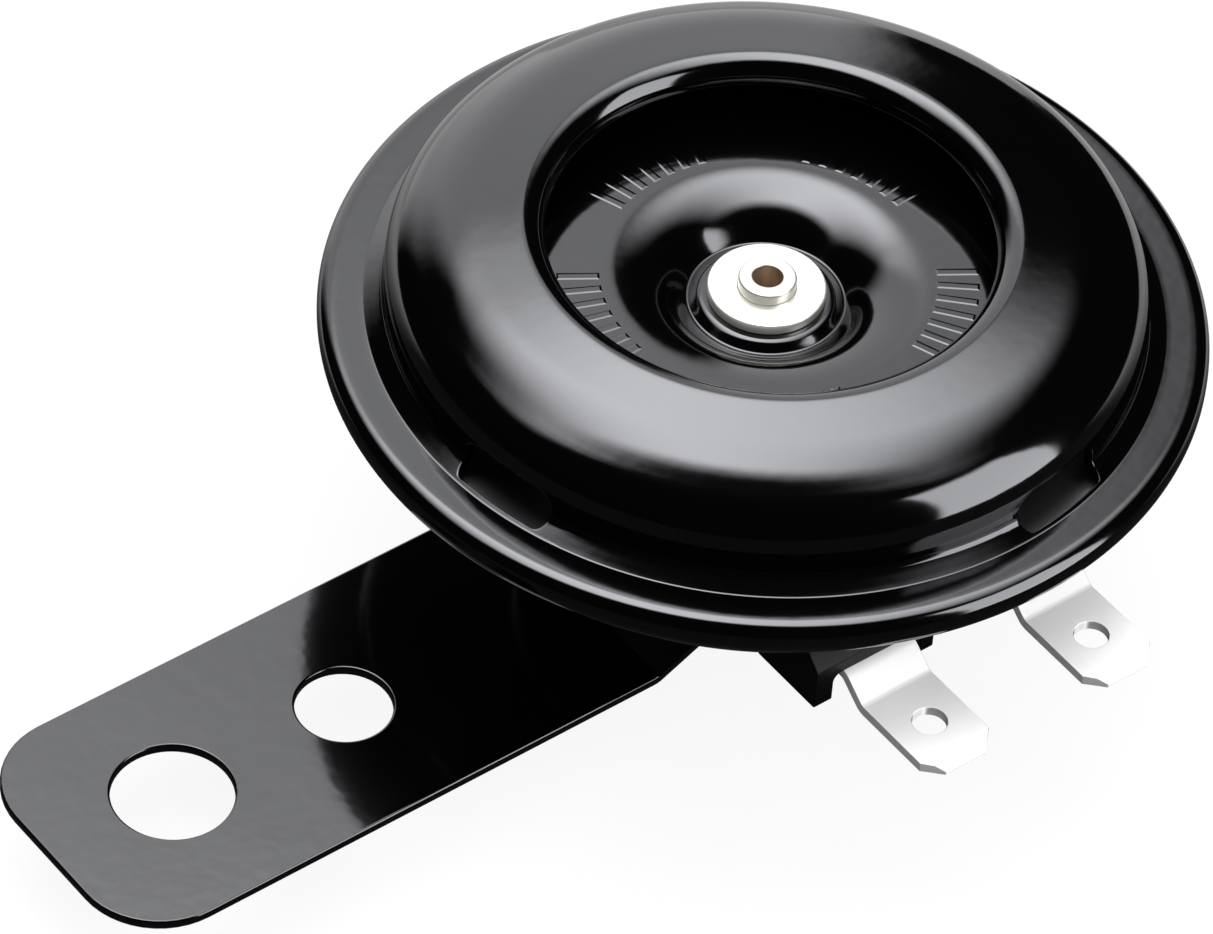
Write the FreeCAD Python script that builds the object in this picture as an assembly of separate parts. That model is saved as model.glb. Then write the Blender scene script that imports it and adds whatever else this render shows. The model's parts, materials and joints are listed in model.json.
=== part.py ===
"""Electric disc horn with its strap bracket, modelled piece by piece in millimetres.

The pieces are drawn about the horn's own axis, with z = 0 at the middle of the rim and the sound
side towards +z. The last step moves every piece so that the origin is the centre of the bracket's
mounting hole, on the strap's rear face, with +x running along the strap to the horn.
"""
import FreeCAD, Part
import math
import os

V = FreeCAD.Vector
AXIS = V(0, 0, 1)

# Clearances shared by many pieces
fit_gap = 0.05            # curved faces of one body that only locate each other
running_gap = 0.05        # a shaft that turns in its bore
hole_gap = 0.1            # a shank in a punched hole
contact_gap = 0.06        # contacts that touch when the horn is at rest
cut_margin = 10.0         # how far a cutting outline runs past a piece

# Rim stack, from the front: cover, gasket, diaphragm, gasket, housing flange, rolled hem
rim_radius = 32.5
cover_gauge = 0.7
housing_gauge = 0.9
gasket_thickness = 0.2
diaphragm_gauge = 0.25
stack_edge_gap = 1.3      # from the hem's inside to the edge of the clamped rings
hem_reach = 3.1           # how far the rolled hem comes in under the flange
stack_height = 2 * gasket_thickness + diaphragm_gauge + housing_gauge
rim_half_height = stack_height / 2 + cover_gauge
stack_radius = rim_radius - cover_gauge - stack_edge_gap
cover_gasket_top = stack_height / 2
diaphragm_top = cover_gasket_top - gasket_thickness
rear_gasket_top = diaphragm_top - diaphragm_gauge
flange_top = rear_gasket_top - gasket_thickness
gasket_width = 2.0

# Front cover: valley, domed ring and the lip round the sound hole
valley_inset = 3.3        # rim edge to the crease at the foot of the dome
dome_inset = 4.7          # rim edge to the dome's upright wall
crown_inset = 4.6         # upright wall to the corner of shoulder and crown
crown_width = 6.84        # that corner to the sound hole
dome_radius = rim_radius - dome_inset
dome_foot_height = 1.5    # the flared foot, above the valley
dome_shoulder_height = 5.025
dome_crown_radius = dome_radius - crown_inset
dome_crown_height = 7.675
sound_hole_radius = dome_crown_radius - crown_width
lip_top_height = 8.725
lip_depth = 2.1
crease_bend = 0.3
foot_bend = 1.6
shoulder_bend = 4.2
crown_bend = 9.0
lip_bend = 1.7
slot_count = 4
slot_first_angle = -79.6
slot_width = 8.3
slot_height = 2.95
slot_corner = 1.6
slot_sill = 0.15          # slot floor above the valley

# Rear housing
wall_inset = 4.2          # rim edge to the housing's wall
shelf_width = 11.8        # the wall to the cup
housing_wall_radius = rim_radius - wall_inset
shelf_depth = 6.0         # shelf's outer face behind the rim's middle
cup_radius = housing_wall_radius - shelf_width
cup_depth = 16.0          # floor's outer face behind the rim's middle
flange_bend = 0.5
shelf_bend = 1.4
cup_mouth_bend = 0.6
cup_floor_bend = 1.5
floor_inside = -cup_depth + housing_gauge
shelf_inside = -shelf_depth + housing_gauge

# Stud and bracket fixing
stud_radius = 3.0
stud_overrun = 2.0        # bare thread behind the nut
stud_chamfer = 0.6
bracket_gauge = 0.8
washer_radius = 6.0
washer_thickness = 1.0
lock_radius = 5.3
lock_thickness = 1.4
lock_split = 0.8
nut_across_flats = 10.0
nut_height = 5.0
nut_chamfer = 0.7

# Bracket strap
strap_width = 21.4
strap_rise = 2.7          # how far the fixed end stands in front of the free end
hole_reach = 52.0         # horn axis to the mounting hole
end_reach = 62.6          # horn axis to the strap's free end
slope_start = 16.5
slope_end = 10.9
strap_corner = 6.3
strap_bend = 1.2
mounting_hole_radius = 4.5
small_hole_reach = 36.9
small_hole_radius = 3.6
strap_edge_round = 0.2

# Electromagnet
core_radius = 5.0
core_height = 5.5
bobbin_height = 9.5
bobbin_depth = 6.5        # core's surface to the flange's edge
bobbin_flange_radius = core_radius + bobbin_depth
bobbin_flange_thickness = 0.8
bobbin_wall = 0.85
bobbin_bore_gap = 0.15
winding_inset = 0.5       # winding's surface inside the flange edge
winding_crown = 0.25

# Armature group, carried by the diaphragm
air_gap = 0.5             # pole face to the armature at rest
plateau_rise = 0.425      # middle of the diaphragm in front of its rim
plateau_radius = 8.0
diaphragm_flat_width = 6.5
diaphragm_bend = 6.0
diaphragm_flat_inner = stack_radius - diaphragm_flat_width
armature_radius = 4.65
collar_radius = 6.6
collar_thickness = 1.0
leaf_gap = 0.15           # armature collar to the breaker leaf
armature_stud_radius = 2.05
peened_head_radius = 2.15
peened_head_height = 0.88
peened_bore_radius = 1.25
peened_bore_depth = 2.2
back_washer_radius = 7.0
back_washer_thickness = 0.8
spacer_radius = 4.8
spacer_height = 0.9
front_washer_radius = 4.33
front_washer_thickness = 0.87
front_washer_round = 0.12

# Tone disc in the sound hole
tone_gauge = 0.8
tone_overlap = 4.64       # how far the disc reaches in under the cover
tone_disc_radius = sound_hole_radius + tone_overlap
tone_seat_radius = 5.1
tone_groove_radius = 6.0
tone_groove_depth = 0.4
tone_ring_radius = 7.8
tone_ring_rise = 1.95     # flat outer ring above the seat
tone_ring_bend = 4.0
tone_groove_bend = 0.5
tone_seat_bend = 1.0

# Breaker, on the side away from the bracket, placed from the housing's wall inwards
shelf_rivet_inset = 4.5
tail_overlap = 1.4        # leaf behind its rivets
insulator_lead = 2.1      # insulator in front of the rivets
insulator_trail = 2.0     # insulator behind the rivets
shelf_rivet_reach = housing_wall_radius - shelf_rivet_inset
shelf_rivet_spread = 2.6
shelf_rivet_radius = 0.9
shelf_rivet_head_radius = 1.7
shelf_rivet_head_height = 0.7
leaf_width = 7.0
leaf_gauge = 0.3
leaf_tip_reach = 5.3
leaf_tail_reach = shelf_rivet_reach + tail_overlap
leaf_slack = 0.25         # room for the leaf to rock in its insulator
leaf_rivet_slack = 0.4
insulator_front = shelf_rivet_reach - insulator_lead
insulator_back = shelf_rivet_reach + insulator_trail
insulator_side = 1.2
insulator_base = 0.65
insulator_cap = 0.65
contact_reach = 12.6
contact_radius = 1.4
moving_contact_height = 0.45
contact_tail_radius = 0.8
contact_tail_height = 0.2
arm_gauge = 0.8
arm_width = 6.0
arm_tip_reach = 10.4
cap_insulator_thickness = 0.5

# Tuning screw in its bush
tuning_inset = 4.3        # from the breaker's rivets
tuning_reach = shelf_rivet_reach - tuning_inset
tuning_radius = 1.5
tuning_tip_gap = 0.1
tuning_head_radius = 2.6
tuning_head_height = 1.6
tuning_head_gap = 0.4
tuning_slot_width = 0.7
tuning_slot_depth = 0.9
bush_wall = 0.5
bush_collar_radius = 2.3
bush_collar_height = 2.2
bush_flare_height = 0.35
bush_flare_radius = 2.1

# Terminals and their insulator, placed from the cup outwards
tab_spacing = 15.0        # between the two tab centres
tab_width = 6.3
tab_gauge = 0.8
tab_blade_length = 8.0
tab_slope_run = 2.1
tab_front_gap = 0.2       # hood's front to the start of the tab's slope
tab_hole_inset = 4.2      # tab's tip to its detent hole
tab_rivet_inset = 3.6     # back of the hoods to the rivets
hood_inset = 1.1          # cup to the back of the hoods
hood_length = 6.5
hood_leg = 1.3
hood_outer_leg = 1.7
hood_back_wall = 1.1
hood_side_gap = 0.85
hood_back_reach = cup_radius + hood_inset
hood_front_reach = hood_back_reach + hood_length
tab_tail_reach = hood_back_reach + hood_back_wall + hole_gap
tab_rivet_reach = hood_back_reach + tab_rivet_inset
tab_bend_reach = hood_front_reach + tab_front_gap
tab_blade_start = tab_bend_reach + tab_slope_run
tab_tip_reach = tab_blade_start + tab_blade_length
tab_hole_reach = tab_tip_reach - tab_hole_inset
tab_hole_radius = 1.3
tab_drop = 1.7
tab_tip_chamfer = 1.35
tab_tip_bevel = 0.6
tab_bend = 0.7
hood_roof_depth = 3.6     # shelf face to the tab's seat
hood_leg_depth = 6.0      # shelf face to the ends of the legs
hood_slope_run = 2.4
hood_front_roof = 1.2
hood_round = 0.7
web_depth = 3.0
plate_thickness = 1.0
plate_overhang = 3.4      # beyond the outer boss centres
plate_corner = 2.5
plate_front_overhang = 2.2
plate_back_overhang = 3.3
plate_front_reach = tab_rivet_reach + plate_front_overhang
plate_back_reach = tab_rivet_reach - plate_back_overhang
boss_radius = 2.5
shelf_hole_radius = 2.6
tab_rivet_radius = 1.5
tab_rivet_bore = 0.9
tab_rivet_head_radius = 2.3
tab_rivet_head_height = 0.7

# Where the horn's own axes stand in the part's frame
rim_height = cup_depth + strap_rise + bracket_gauge
to_part_frame = V(hole_reach, 0, rim_height)


def disc(radius, low, high):
    return Part.makeCylinder(radius, high - low, V(0, 0, low), AXIS)


def ring(inner, outer, low, high):
    return disc(outer, low, high).cut(disc(inner, low, high))


def post(x, y, radius, low, high):
    return Part.makeCylinder(radius, high - low, V(x, y, low), AXIS)


def block(x0, x1, y0, y1, z0, z1):
    return Part.makeBox(x1 - x0, y1 - y0, z1 - z0, V(x0, y0, z0))


def unit(a, b):
    length = math.hypot(b[0] - a[0], b[1] - a[1])
    return ((b[0] - a[0]) / length, (b[1] - a[1]) / length)


def bent_path(points, bends, shift, place):
    """Edges of a path with rounded corners, moved to its left by shift, with concentric bends."""
    ways = [unit(a, b) for a, b in zip(points, points[1:])]
    left = [(-w[1], w[0]) for w in ways]
    start = (points[0][0] + left[0][0] * shift, points[0][1] + left[0][1] * shift)
    here = start
    edges = []
    for i in range(1, len(points) - 1):
        before, after = ways[i - 1], ways[i]
        turn = before[0] * after[1] - before[1] * after[0]
        along = before[0] * after[0] + before[1] * after[1]
        corner = [points[i][k] + (left[i - 1][k] + left[i][k]) / (1 + along) * shift for k in (0, 1)]
        radius = bends[i - 1] - math.copysign(shift, turn * shift)
        half = math.atan2(abs(turn), along) / 2
        reach = radius * math.tan(half)
        a = (corner[0] - before[0] * reach, corner[1] - before[1] * reach)
        b = (corner[0] + after[0] * reach, corner[1] + after[1] * reach)
        inwards = unit(before, after)
        sag = radius / math.cos(half) - radius
        middle = (corner[0] + inwards[0] * sag, corner[1] + inwards[1] * sag)
        if math.dist(here, a) > 1e-6:
            edges.append(Part.LineSegment(place(*here), place(*a)).toShape())
        edges.append(Part.Arc(place(*a), place(*middle), place(*b)).toShape())
        here = b
    end = [points[-1][k] + left[-1][k] * shift for k in (0, 1)]
    edges.append(Part.LineSegment(place(*here), place(*end)).toShape())
    return edges, place(*start), place(*end)


def sheet_face(points, bends, gauge, place):
    """Section of a bent sheet: the skin path, and a second one gauge to its left (or right if negative)."""
    skin, skin_start, skin_end = bent_path(points, bends, 0.0, place)
    back, back_start, back_end = bent_path(points, bends, gauge, place)
    ends = [Part.LineSegment(skin_end, back_end).toShape(), Part.LineSegment(back_start, skin_start).toShape()]
    return Part.Face(Part.Wire(Part.__sortEdges__(skin + back + ends)))


def in_radius_plane(r, z):
    return V(r, 0, z)


def turned_sheet(points, bends, gauge):
    """A pressed round shell: the sheet's section turned once round the horn's axis."""
    return sheet_face(points, bends, gauge, in_radius_plane).revolve(V(0, 0, 0), AXIS, 360)


def rounded_plate(x0, x1, y0, y1, z0, z1, radius):
    """A flat plate with its four upright corners rounded."""
    body = block(x0, x1, y0, y1, z0, z1)
    upright = [e for e in body.Edges if abs(e.tangentAt(e.FirstParameter).z) > 0.9]
    return body.makeFillet(radius, upright)


def front_cover():
    top = rim_half_height
    crease = rim_radius - valley_inset
    points = [
        (rim_radius - hem_reach, -top),
        (rim_radius, -top),
        (rim_radius, top),
        (crease, top),
        (dome_radius, top + dome_foot_height),
        (dome_radius, top + dome_shoulder_height),
        (dome_crown_radius, top + dome_crown_height),
        (sound_hole_radius, top + lip_top_height),
        (sound_hole_radius, top + lip_top_height - lip_depth),
    ]
    bends = [top, top, crease_bend, foot_bend, shoulder_bend, crown_bend, lip_bend]
    shell = turned_sheet(points, bends, cover_gauge)
    return shell.cut(Part.makeCompound([slot_punch(k) for k in range(slot_count)]))


def slot_punch(k):
    """Radial punch with rounded upper corners, through the foot of the dome."""
    low = rim_half_height + slot_sill
    inside = dome_radius - cover_gauge - 2.0
    punch = block(inside, rim_radius, -slot_width / 2, slot_width / 2, low, low + slot_height)
    upper = [e for e in punch.Edges
             if abs(e.tangentAt(e.FirstParameter).x) > 0.9 and e.CenterOfMass.z > low + slot_height / 2]
    punch = punch.makeFillet(slot_corner, upper)
    punch.rotate(V(0, 0, 0), AXIS, slot_first_angle + k * 360.0 / slot_count)
    return punch


def cover_gasket():
    return ring(stack_radius - gasket_width, stack_radius, diaphragm_top, cover_gasket_top)


def diaphragm_gasket():
    return ring(stack_radius - gasket_width, stack_radius, flange_top, rear_gasket_top)


def diaphragm():
    """Thin membrane: clamped flat rim, a shallow cone and a raised flat middle with a hole."""
    top = diaphragm_top
    points = [
        (stack_radius, top),
        (diaphragm_flat_inner, top),
        (plateau_radius, top + plateau_rise),
        (armature_stud_radius + fit_gap, top + plateau_rise),
    ]
    return turned_sheet(points, [diaphragm_bend, diaphragm_bend], diaphragm_gauge)


def rear_housing():
    low = flange_top - housing_gauge
    points = [
        (stack_radius, low),
        (housing_wall_radius, low),
        (housing_wall_radius, -shelf_depth),
        (cup_radius, -shelf_depth),
        (cup_radius, -cup_depth),
        (stud_radius + hole_gap, -cup_depth),
    ]
    bends = [flange_bend, shelf_bend, cup_mouth_bend, cup_floor_bend]
    shell = turned_sheet(points, bends, -housing_gauge)
    low, high = -shelf_depth - 1.0, shelf_inside + 1.0
    holes = [post(x, y, shelf_rivet_radius + hole_gap, low, high) for x, y in breaker_rivet_places()]
    holes += [post(x, -tab_rivet_reach, shelf_hole_radius, low, high) for x in tab_centres()]
    holes.append(post(tuning_reach, 0, tuning_radius + bush_wall + fit_gap, low, high))
    return shell.cut(Part.makeCompound(holes))


def breaker_rivet_places():
    return [(shelf_rivet_reach, side * shelf_rivet_spread) for side in (-1, 1)]


def tab_centres():
    return [-tab_spacing / 2, tab_spacing / 2]


def fixing_levels():
    """Heights of the faces behind the housing floor: strap, washer, lock washer, nut, stud end."""
    strap = -cup_depth - bracket_gauge
    washer = strap - washer_thickness
    lock = washer - lock_thickness
    nut = lock - nut_height
    return strap, washer, lock, nut, nut - stud_overrun


def pole_core():
    end = fixing_levels()[-1]
    core = disc(core_radius, floor_inside, floor_inside + core_height)
    stud = disc(stud_radius, end, floor_inside + 0.5)
    stud = stud.makeChamfer(stud_chamfer, [e for e in stud.Edges if abs(e.BoundBox.ZMax - end) < 1e-6])
    return core.fuse(stud).removeSplitter()


def coil_bobbin():
    low = floor_inside
    high = low + bobbin_height
    barrel = core_radius + bobbin_bore_gap + bobbin_wall
    body = disc(barrel, low, high)
    for z in (low, high - bobbin_flange_thickness):
        body = body.fuse(disc(bobbin_flange_radius, z, z + bobbin_flange_thickness))
    return body.cut(disc(core_radius + bobbin_bore_gap, low - 1, high + 1)).removeSplitter()


def coil_winding():
    """Wound copper, slightly crowned between the bobbin's flanges."""
    low = floor_inside + bobbin_flange_thickness
    high = floor_inside + bobbin_height - bobbin_flange_thickness
    inner = core_radius + bobbin_bore_gap + bobbin_wall + fit_gap
    outer = bobbin_flange_radius - winding_inset - winding_crown
    edges = [
        Part.LineSegment(V(inner, 0, low), V(outer, 0, low)).toShape(),
        Part.Arc(V(outer, 0, low), V(outer + winding_crown, 0, (low + high) / 2), V(outer, 0, high)).toShape(),
        Part.LineSegment(V(outer, 0, high), V(inner, 0, high)).toShape(),
        Part.LineSegment(V(inner, 0, high), V(inner, 0, low)).toShape(),
    ]
    return Part.Face(Part.Wire(edges)).revolve(V(0, 0, 0), AXIS, 360)


def bracket_outline():
    """Plan of the strap: rounded free end, round end about the stud, and three holes."""
    half = strap_width / 2
    c = strap_corner
    d = c * (1 - math.sqrt(0.5))
    left = -end_reach
    corners = [
        Part.LineSegment(V(0, half, 0), V(left + c, half, 0)).toShape(),
        Part.Arc(V(left + c, half, 0), V(left + d, half - d, 0), V(left, half - c, 0)).toShape(),
        Part.LineSegment(V(left, half - c, 0), V(left, -half + c, 0)).toShape(),
        Part.Arc(V(left, -half + c, 0), V(left + d, -half + d, 0), V(left + c, -half, 0)).toShape(),
        Part.LineSegment(V(left + c, -half, 0), V(0, -half, 0)).toShape(),
        Part.Arc(V(0, -half, 0), V(half, 0, 0), V(0, half, 0)).toShape(),
    ]
    plan = Part.Face(Part.Wire(corners))
    for x, r in ((-hole_reach, mounting_hole_radius), (-small_hole_reach, small_hole_radius),
                 (0.0, stud_radius + hole_gap)):
        plan = plan.cut(Part.Face(Part.Wire(Part.makeCircle(r, V(x, 0, 0)))))
    return plan


def mounting_bracket():
    """Strap with a set-off, cut to its outline, its front edges slightly rounded."""
    front = -cup_depth
    points = [
        (-end_reach - 1, front - strap_rise),
        (-slope_start, front - strap_rise),
        (-slope_end, front),
        (strap_width, front),
    ]
    section = sheet_face(points, [strap_bend, strap_bend + bracket_gauge], -bracket_gauge, in_radius_plane)
    section.translate(V(0, -strap_width, 0))
    bent = section.extrude(V(0, 2 * strap_width, 0))
    plan = bracket_outline()
    plan.translate(V(0, 0, front - strap_rise - 2 * bracket_gauge))
    strap = bent.common(plan.extrude(V(0, 0, strap_rise + 4 * bracket_gauge)))
    flat = front - strap_rise
    rounded = [e for e in strap.Edges
               if abs(e.BoundBox.ZMin - flat) < 1e-4 and abs(e.BoundBox.ZMax - flat) < 1e-4
               and e.BoundBox.XMax < -slope_start + 1.0 and not across(e)]
    return strap.makeFillet(strap_edge_round, rounded)


def across(edge):
    """True for a straight edge that runs along y, such as a bend line."""
    way = edge.tangentAt(edge.FirstParameter)
    return edge.Curve.TypeId == "Part::GeomLine" and abs(way.y) > 0.99 and edge.BoundBox.XMax > -end_reach + 1


def bracket_washer():
    strap, washer = fixing_levels()[:2]
    return ring(stud_radius + hole_gap, washer_radius, washer, strap)


def lock_washer():
    """Split spring washer, drawn flat as it is when tightened."""
    washer, lock = fixing_levels()[1:3]
    body = ring(stud_radius + hole_gap, lock_radius, lock, washer)
    split = block(0, lock_radius + 1, -lock_split / 2, lock_split / 2, lock - 1, washer + 1)
    return body.cut(split)


def mounting_nut():
    lock, nut = fixing_levels()[2:4]
    corner = nut_across_flats / math.sqrt(3)
    ring_points = [V(corner * math.cos(math.radians(60 * k)), corner * math.sin(math.radians(60 * k)), nut)
                   for k in range(7)]
    body = Part.Face(Part.makePolygon(ring_points)).extrude(V(0, 0, nut_height))
    cone = nut_height + 2 * nut_chamfer
    reach = nut_across_flats / 2 - nut_chamfer * 0.2
    lower = Part.makeCone(reach, reach + cone * 1.7, cone, V(0, 0, nut), AXIS)
    upper = Part.makeCone(reach + cone * 1.7, reach, cone, V(0, 0, lock - cone), AXIS)
    return body.common(lower).common(upper).cut(disc(stud_radius + fit_gap, nut - 1, lock + 1))


def terminal_block():
    """Moulded insulator: a web on the shelf with a hood over each tab."""
    top = -shelf_depth
    half = tab_spacing / 2 + tab_width / 2 + hood_side_gap + hood_outer_leg
    back, front = -hood_back_reach, -hood_front_reach
    body = block(-half, half, front, back, top - web_depth, top)
    for x in tab_centres():
        width = tab_width / 2 + hood_side_gap
        legs = (hood_outer_leg, hood_leg) if x < 0 else (hood_leg, hood_outer_leg)
        hood = block(x - width - legs[0], x + width + legs[1], front, back, top - hood_leg_depth, top)
        body = body.fuse(hood)
    body = body.removeSplitter()
    slope = [V(0, front - 1, top + 1), V(0, front + hood_slope_run, top + 1), V(0, front + hood_slope_run, top),
             V(0, front, top - hood_roof_depth + hood_front_roof), V(0, front - 1, top - hood_roof_depth
             + hood_front_roof), V(0, front - 1, top + 1)]
    wedge = Part.Face(Part.makePolygon(slope)).extrude(V(2 * half + 2, 0, 0))
    wedge.translate(V(-half - 1, 0, 0))
    body = body.cut(wedge)
    for x in tab_centres():
        width = tab_width / 2 + hood_side_gap
        low = top - hood_leg_depth - 1
        seat = top - hood_roof_depth
        channel = block(x - width, x + width, front - 1, back - hood_back_wall, low, seat)
        crown = [e for e in channel.Edges
                 if abs(e.tangentAt(e.FirstParameter).y) > 0.9 and e.BoundBox.ZMin > seat - 0.01]
        body = body.cut(channel.makeFillet(hood_round, crown))
        body = body.cut(post(x, -tab_rivet_reach, tab_rivet_radius + hole_gap, low, top + 1))
    return body


def terminal(x):
    """Spade tab: flat tail under the hood, stepped down to the blade, tip cut and bevelled."""
    top = -shelf_depth - hood_roof_depth
    points = [
        (-tab_tail_reach, top),
        (-tab_bend_reach, top),
        (-tab_blade_start, top - tab_drop),
        (-tab_tip_reach, top - tab_drop),
    ]
    section = sheet_face(points, [tab_bend + tab_gauge, tab_bend], tab_gauge, lambda y, z: V(x - tab_width / 2, y, z))
    tab = section.extrude(V(tab_width, 0, 0))
    c, half = tab_tip_chamfer, tab_width / 2
    tip, tail = -tab_tip_reach, -tab_tail_reach
    plan = [V(x - half, tail, 0), V(x - half, tip + c, 0), V(x - half + c, tip, 0), V(x + half - c, tip, 0),
            V(x + half, tip + c, 0), V(x + half, tail, 0), V(x - half, tail, 0)]
    outline = Part.Face(Part.makePolygon(plan))
    outline.translate(V(0, 0, top - cut_margin))
    tab = tab.common(outline.extrude(V(0, 0, 2 * cut_margin)))
    blade = top - tab_drop
    bevel = [V(0, tip - 1, blade + 1), V(0, tip + tab_tip_bevel + 2, blade + 1),
             V(0, tip + tab_tip_bevel, blade), V(0, tip, blade - tab_gauge * 0.6), V(0, tip - 1, blade - tab_gauge),
             V(0, tip - 1, blade + 1)]
    wedge = Part.Face(Part.makePolygon(bevel)).extrude(V(2 * tab_width, 0, 0))
    wedge.translate(V(x - tab_width, 0, 0))
    tab = tab.cut(wedge)
    for reach, r in ((tab_hole_reach, tab_hole_radius), (tab_rivet_reach, tab_rivet_radius + hole_gap)):
        tab = tab.cut(post(x, -reach, r, blade - 3, top + 3))
    return tab


def inner_plate():
    """Insulating plate inside the shelf, with a boss through each shelf hole."""
    half = tab_spacing / 2 + plate_overhang
    plate = rounded_plate(-half, half, -plate_front_reach, -plate_back_reach,
                          shelf_inside, shelf_inside + plate_thickness, plate_corner)
    for x in tab_centres():
        plate = plate.fuse(post(x, -tab_rivet_reach, boss_radius, -shelf_depth, shelf_inside + 0.1))
        plate = plate.cut(post(x, -tab_rivet_reach, tab_rivet_radius + hole_gap, -shelf_depth - 1,
                               shelf_inside + plate_thickness + 1))
    return plate.removeSplitter()


def terminal_rivets():
    """Two tubular rivets: head under the tab, rolled end on the inner plate."""
    top = shelf_inside + plate_thickness
    under = -shelf_depth - hood_roof_depth - tab_gauge
    rivets = []
    for x in tab_centres():
        y = -tab_rivet_reach
        body = post(x, y, tab_rivet_radius, under, top)
        body = body.fuse(post(x, y, tab_rivet_head_radius, under - tab_rivet_head_height, under))
        rolled = Part.makeTorus(tab_rivet_radius, tab_rivet_head_height / 2, V(x, y, 0), AXIS)
        rolled.translate(V(0, 0, top + tab_rivet_head_height / 2))
        body = body.fuse(post(x, y, tab_rivet_radius, top - 0.1, top + tab_rivet_head_height)).fuse(rolled)
        body = body.cut(post(x, y, tab_rivet_bore, under + 1.0, top + 2.0))
        rivets.append(body.removeSplitter())
    return Part.makeCompound(rivets)


def leaf_level():
    """Underside of the breaker leaf."""
    return shelf_inside + insulator_base + leaf_slack


def arm_level():
    """Underside of the fixed contact arm, on top of the slotted insulator."""
    return leaf_level() + leaf_gauge + leaf_slack + insulator_cap


def contact_insulator():
    """Moulded block on the shelf; the leaf sits in its slot and the arm on its top."""
    half = leaf_width / 2 + leaf_slack + insulator_side
    body = block(insulator_front, insulator_back, -half, half, shelf_inside, arm_level())
    slot_half = leaf_width / 2 + leaf_slack
    slot = block(insulator_front - 1, leaf_tail_reach + leaf_slack, -slot_half, slot_half,
                 leaf_level() - leaf_slack, leaf_level() + leaf_gauge + leaf_slack)
    body = body.cut(slot)
    for x, y in breaker_rivet_places():
        body = body.cut(post(x, y, shelf_rivet_radius + hole_gap, shelf_inside - 1, arm_level() + 1))
    return body


def breaker_leaf():
    """Spring leaf from the insulator to just under the armature collar."""
    z = leaf_level()
    half = leaf_width / 2
    body = block(leaf_tip_reach + half, leaf_tail_reach, -half, half, z, z + leaf_gauge)
    nose = post(leaf_tip_reach + half, 0, half, z, z + leaf_gauge)
    body = body.fuse(nose).removeSplitter()
    for x, y in breaker_rivet_places():
        body = body.cut(post(x, y, shelf_rivet_radius + leaf_rivet_slack, z - 1, z + 1))
    body = body.cut(post(tuning_reach, 0, tuning_radius + leaf_rivet_slack, z - 1, z + 1))
    return body.cut(post(contact_reach, 0, contact_tail_radius, z - 1, z + 1))


def moving_contact():
    """Contact rivet in the leaf: domed face above, tail spread below."""
    z = leaf_level()
    face = post(contact_reach, 0, contact_radius, z + leaf_gauge, z + leaf_gauge + moving_contact_height)
    shank = post(contact_reach, 0, contact_tail_radius, z - contact_tail_height, z + leaf_gauge)
    spread = post(contact_reach, 0, contact_tail_radius + 0.3, z - contact_tail_height, z)
    return face.fuse(shank).fuse(spread).removeSplitter()


def fixed_contact():
    low = leaf_level() + leaf_gauge + moving_contact_height + contact_gap
    face = post(contact_reach, 0, contact_radius, low, arm_level())
    shank = post(contact_reach, 0, contact_tail_radius, arm_level(), arm_level() + arm_gauge)
    spread = post(contact_reach, 0, contact_tail_radius + 0.3, arm_level() + arm_gauge,
                  arm_level() + arm_gauge + contact_tail_height)
    return face.fuse(shank).fuse(spread).removeSplitter()


def fixed_contact_arm():
    z = arm_level()
    half = arm_width / 2
    body = block(arm_tip_reach + half, insulator_back, -half, half, z, z + arm_gauge)
    wings = block(insulator_front, insulator_back, -half - 1.0, half + 1.0, z, z + arm_gauge)
    body = body.fuse(post(arm_tip_reach + half, 0, half, z, z + arm_gauge)).fuse(wings).removeSplitter()
    for x, y in breaker_rivet_places():
        body = body.cut(post(x, y, shelf_rivet_radius + hole_gap, z - 1, z + 2))
    return body.cut(post(contact_reach, 0, contact_tail_radius, z - 1, z + 2))


def cap_insulator():
    z = arm_level() + arm_gauge
    half = arm_width / 2 + 1.0
    cap = rounded_plate(insulator_front, insulator_back, -half, half, z, z + cap_insulator_thickness, 0.8)
    for x, y in breaker_rivet_places():
        cap = cap.cut(post(x, y, shelf_rivet_radius + hole_gap, z - 1, z + 2))
    return cap


def breaker_rivets():
    """Two rivets that clamp the breaker stack to the shelf."""
    low = -shelf_depth
    high = arm_level() + arm_gauge + cap_insulator_thickness
    rivets = []
    for x, y in breaker_rivet_places():
        shank = post(x, y, shelf_rivet_radius, low - 0.1, high + 0.1)
        lower = post(x, y, shelf_rivet_head_radius, low - shelf_rivet_head_height, low)
        upper = post(x, y, shelf_rivet_head_radius, high, high + shelf_rivet_head_height)
        body = shank.fuse(lower).fuse(upper).removeSplitter()
        rims = [e for e in body.Edges
                if abs(e.BoundBox.ZMin - high - shelf_rivet_head_height) < 1e-6
                or abs(e.BoundBox.ZMax - low + shelf_rivet_head_height) < 1e-6]
        rivets.append(body.makeFillet(shelf_rivet_head_height * 0.6, rims))
    return Part.makeCompound(rivets)


def screw_bush():
    """Threaded bush, collar outside the shelf, flared over inside it."""
    low, outer = -shelf_depth, tuning_radius + bush_wall
    body = post(tuning_reach, 0, outer, low - 0.1, shelf_inside)
    body = body.fuse(post(tuning_reach, 0, bush_collar_radius, low - bush_collar_height, low))
    body = body.fuse(post(tuning_reach, 0, bush_flare_radius, shelf_inside, shelf_inside + bush_flare_height))
    bore = post(tuning_reach, 0, tuning_radius + running_gap, low - bush_collar_height - 1, shelf_inside + 2)
    return body.cut(bore).removeSplitter()


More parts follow.
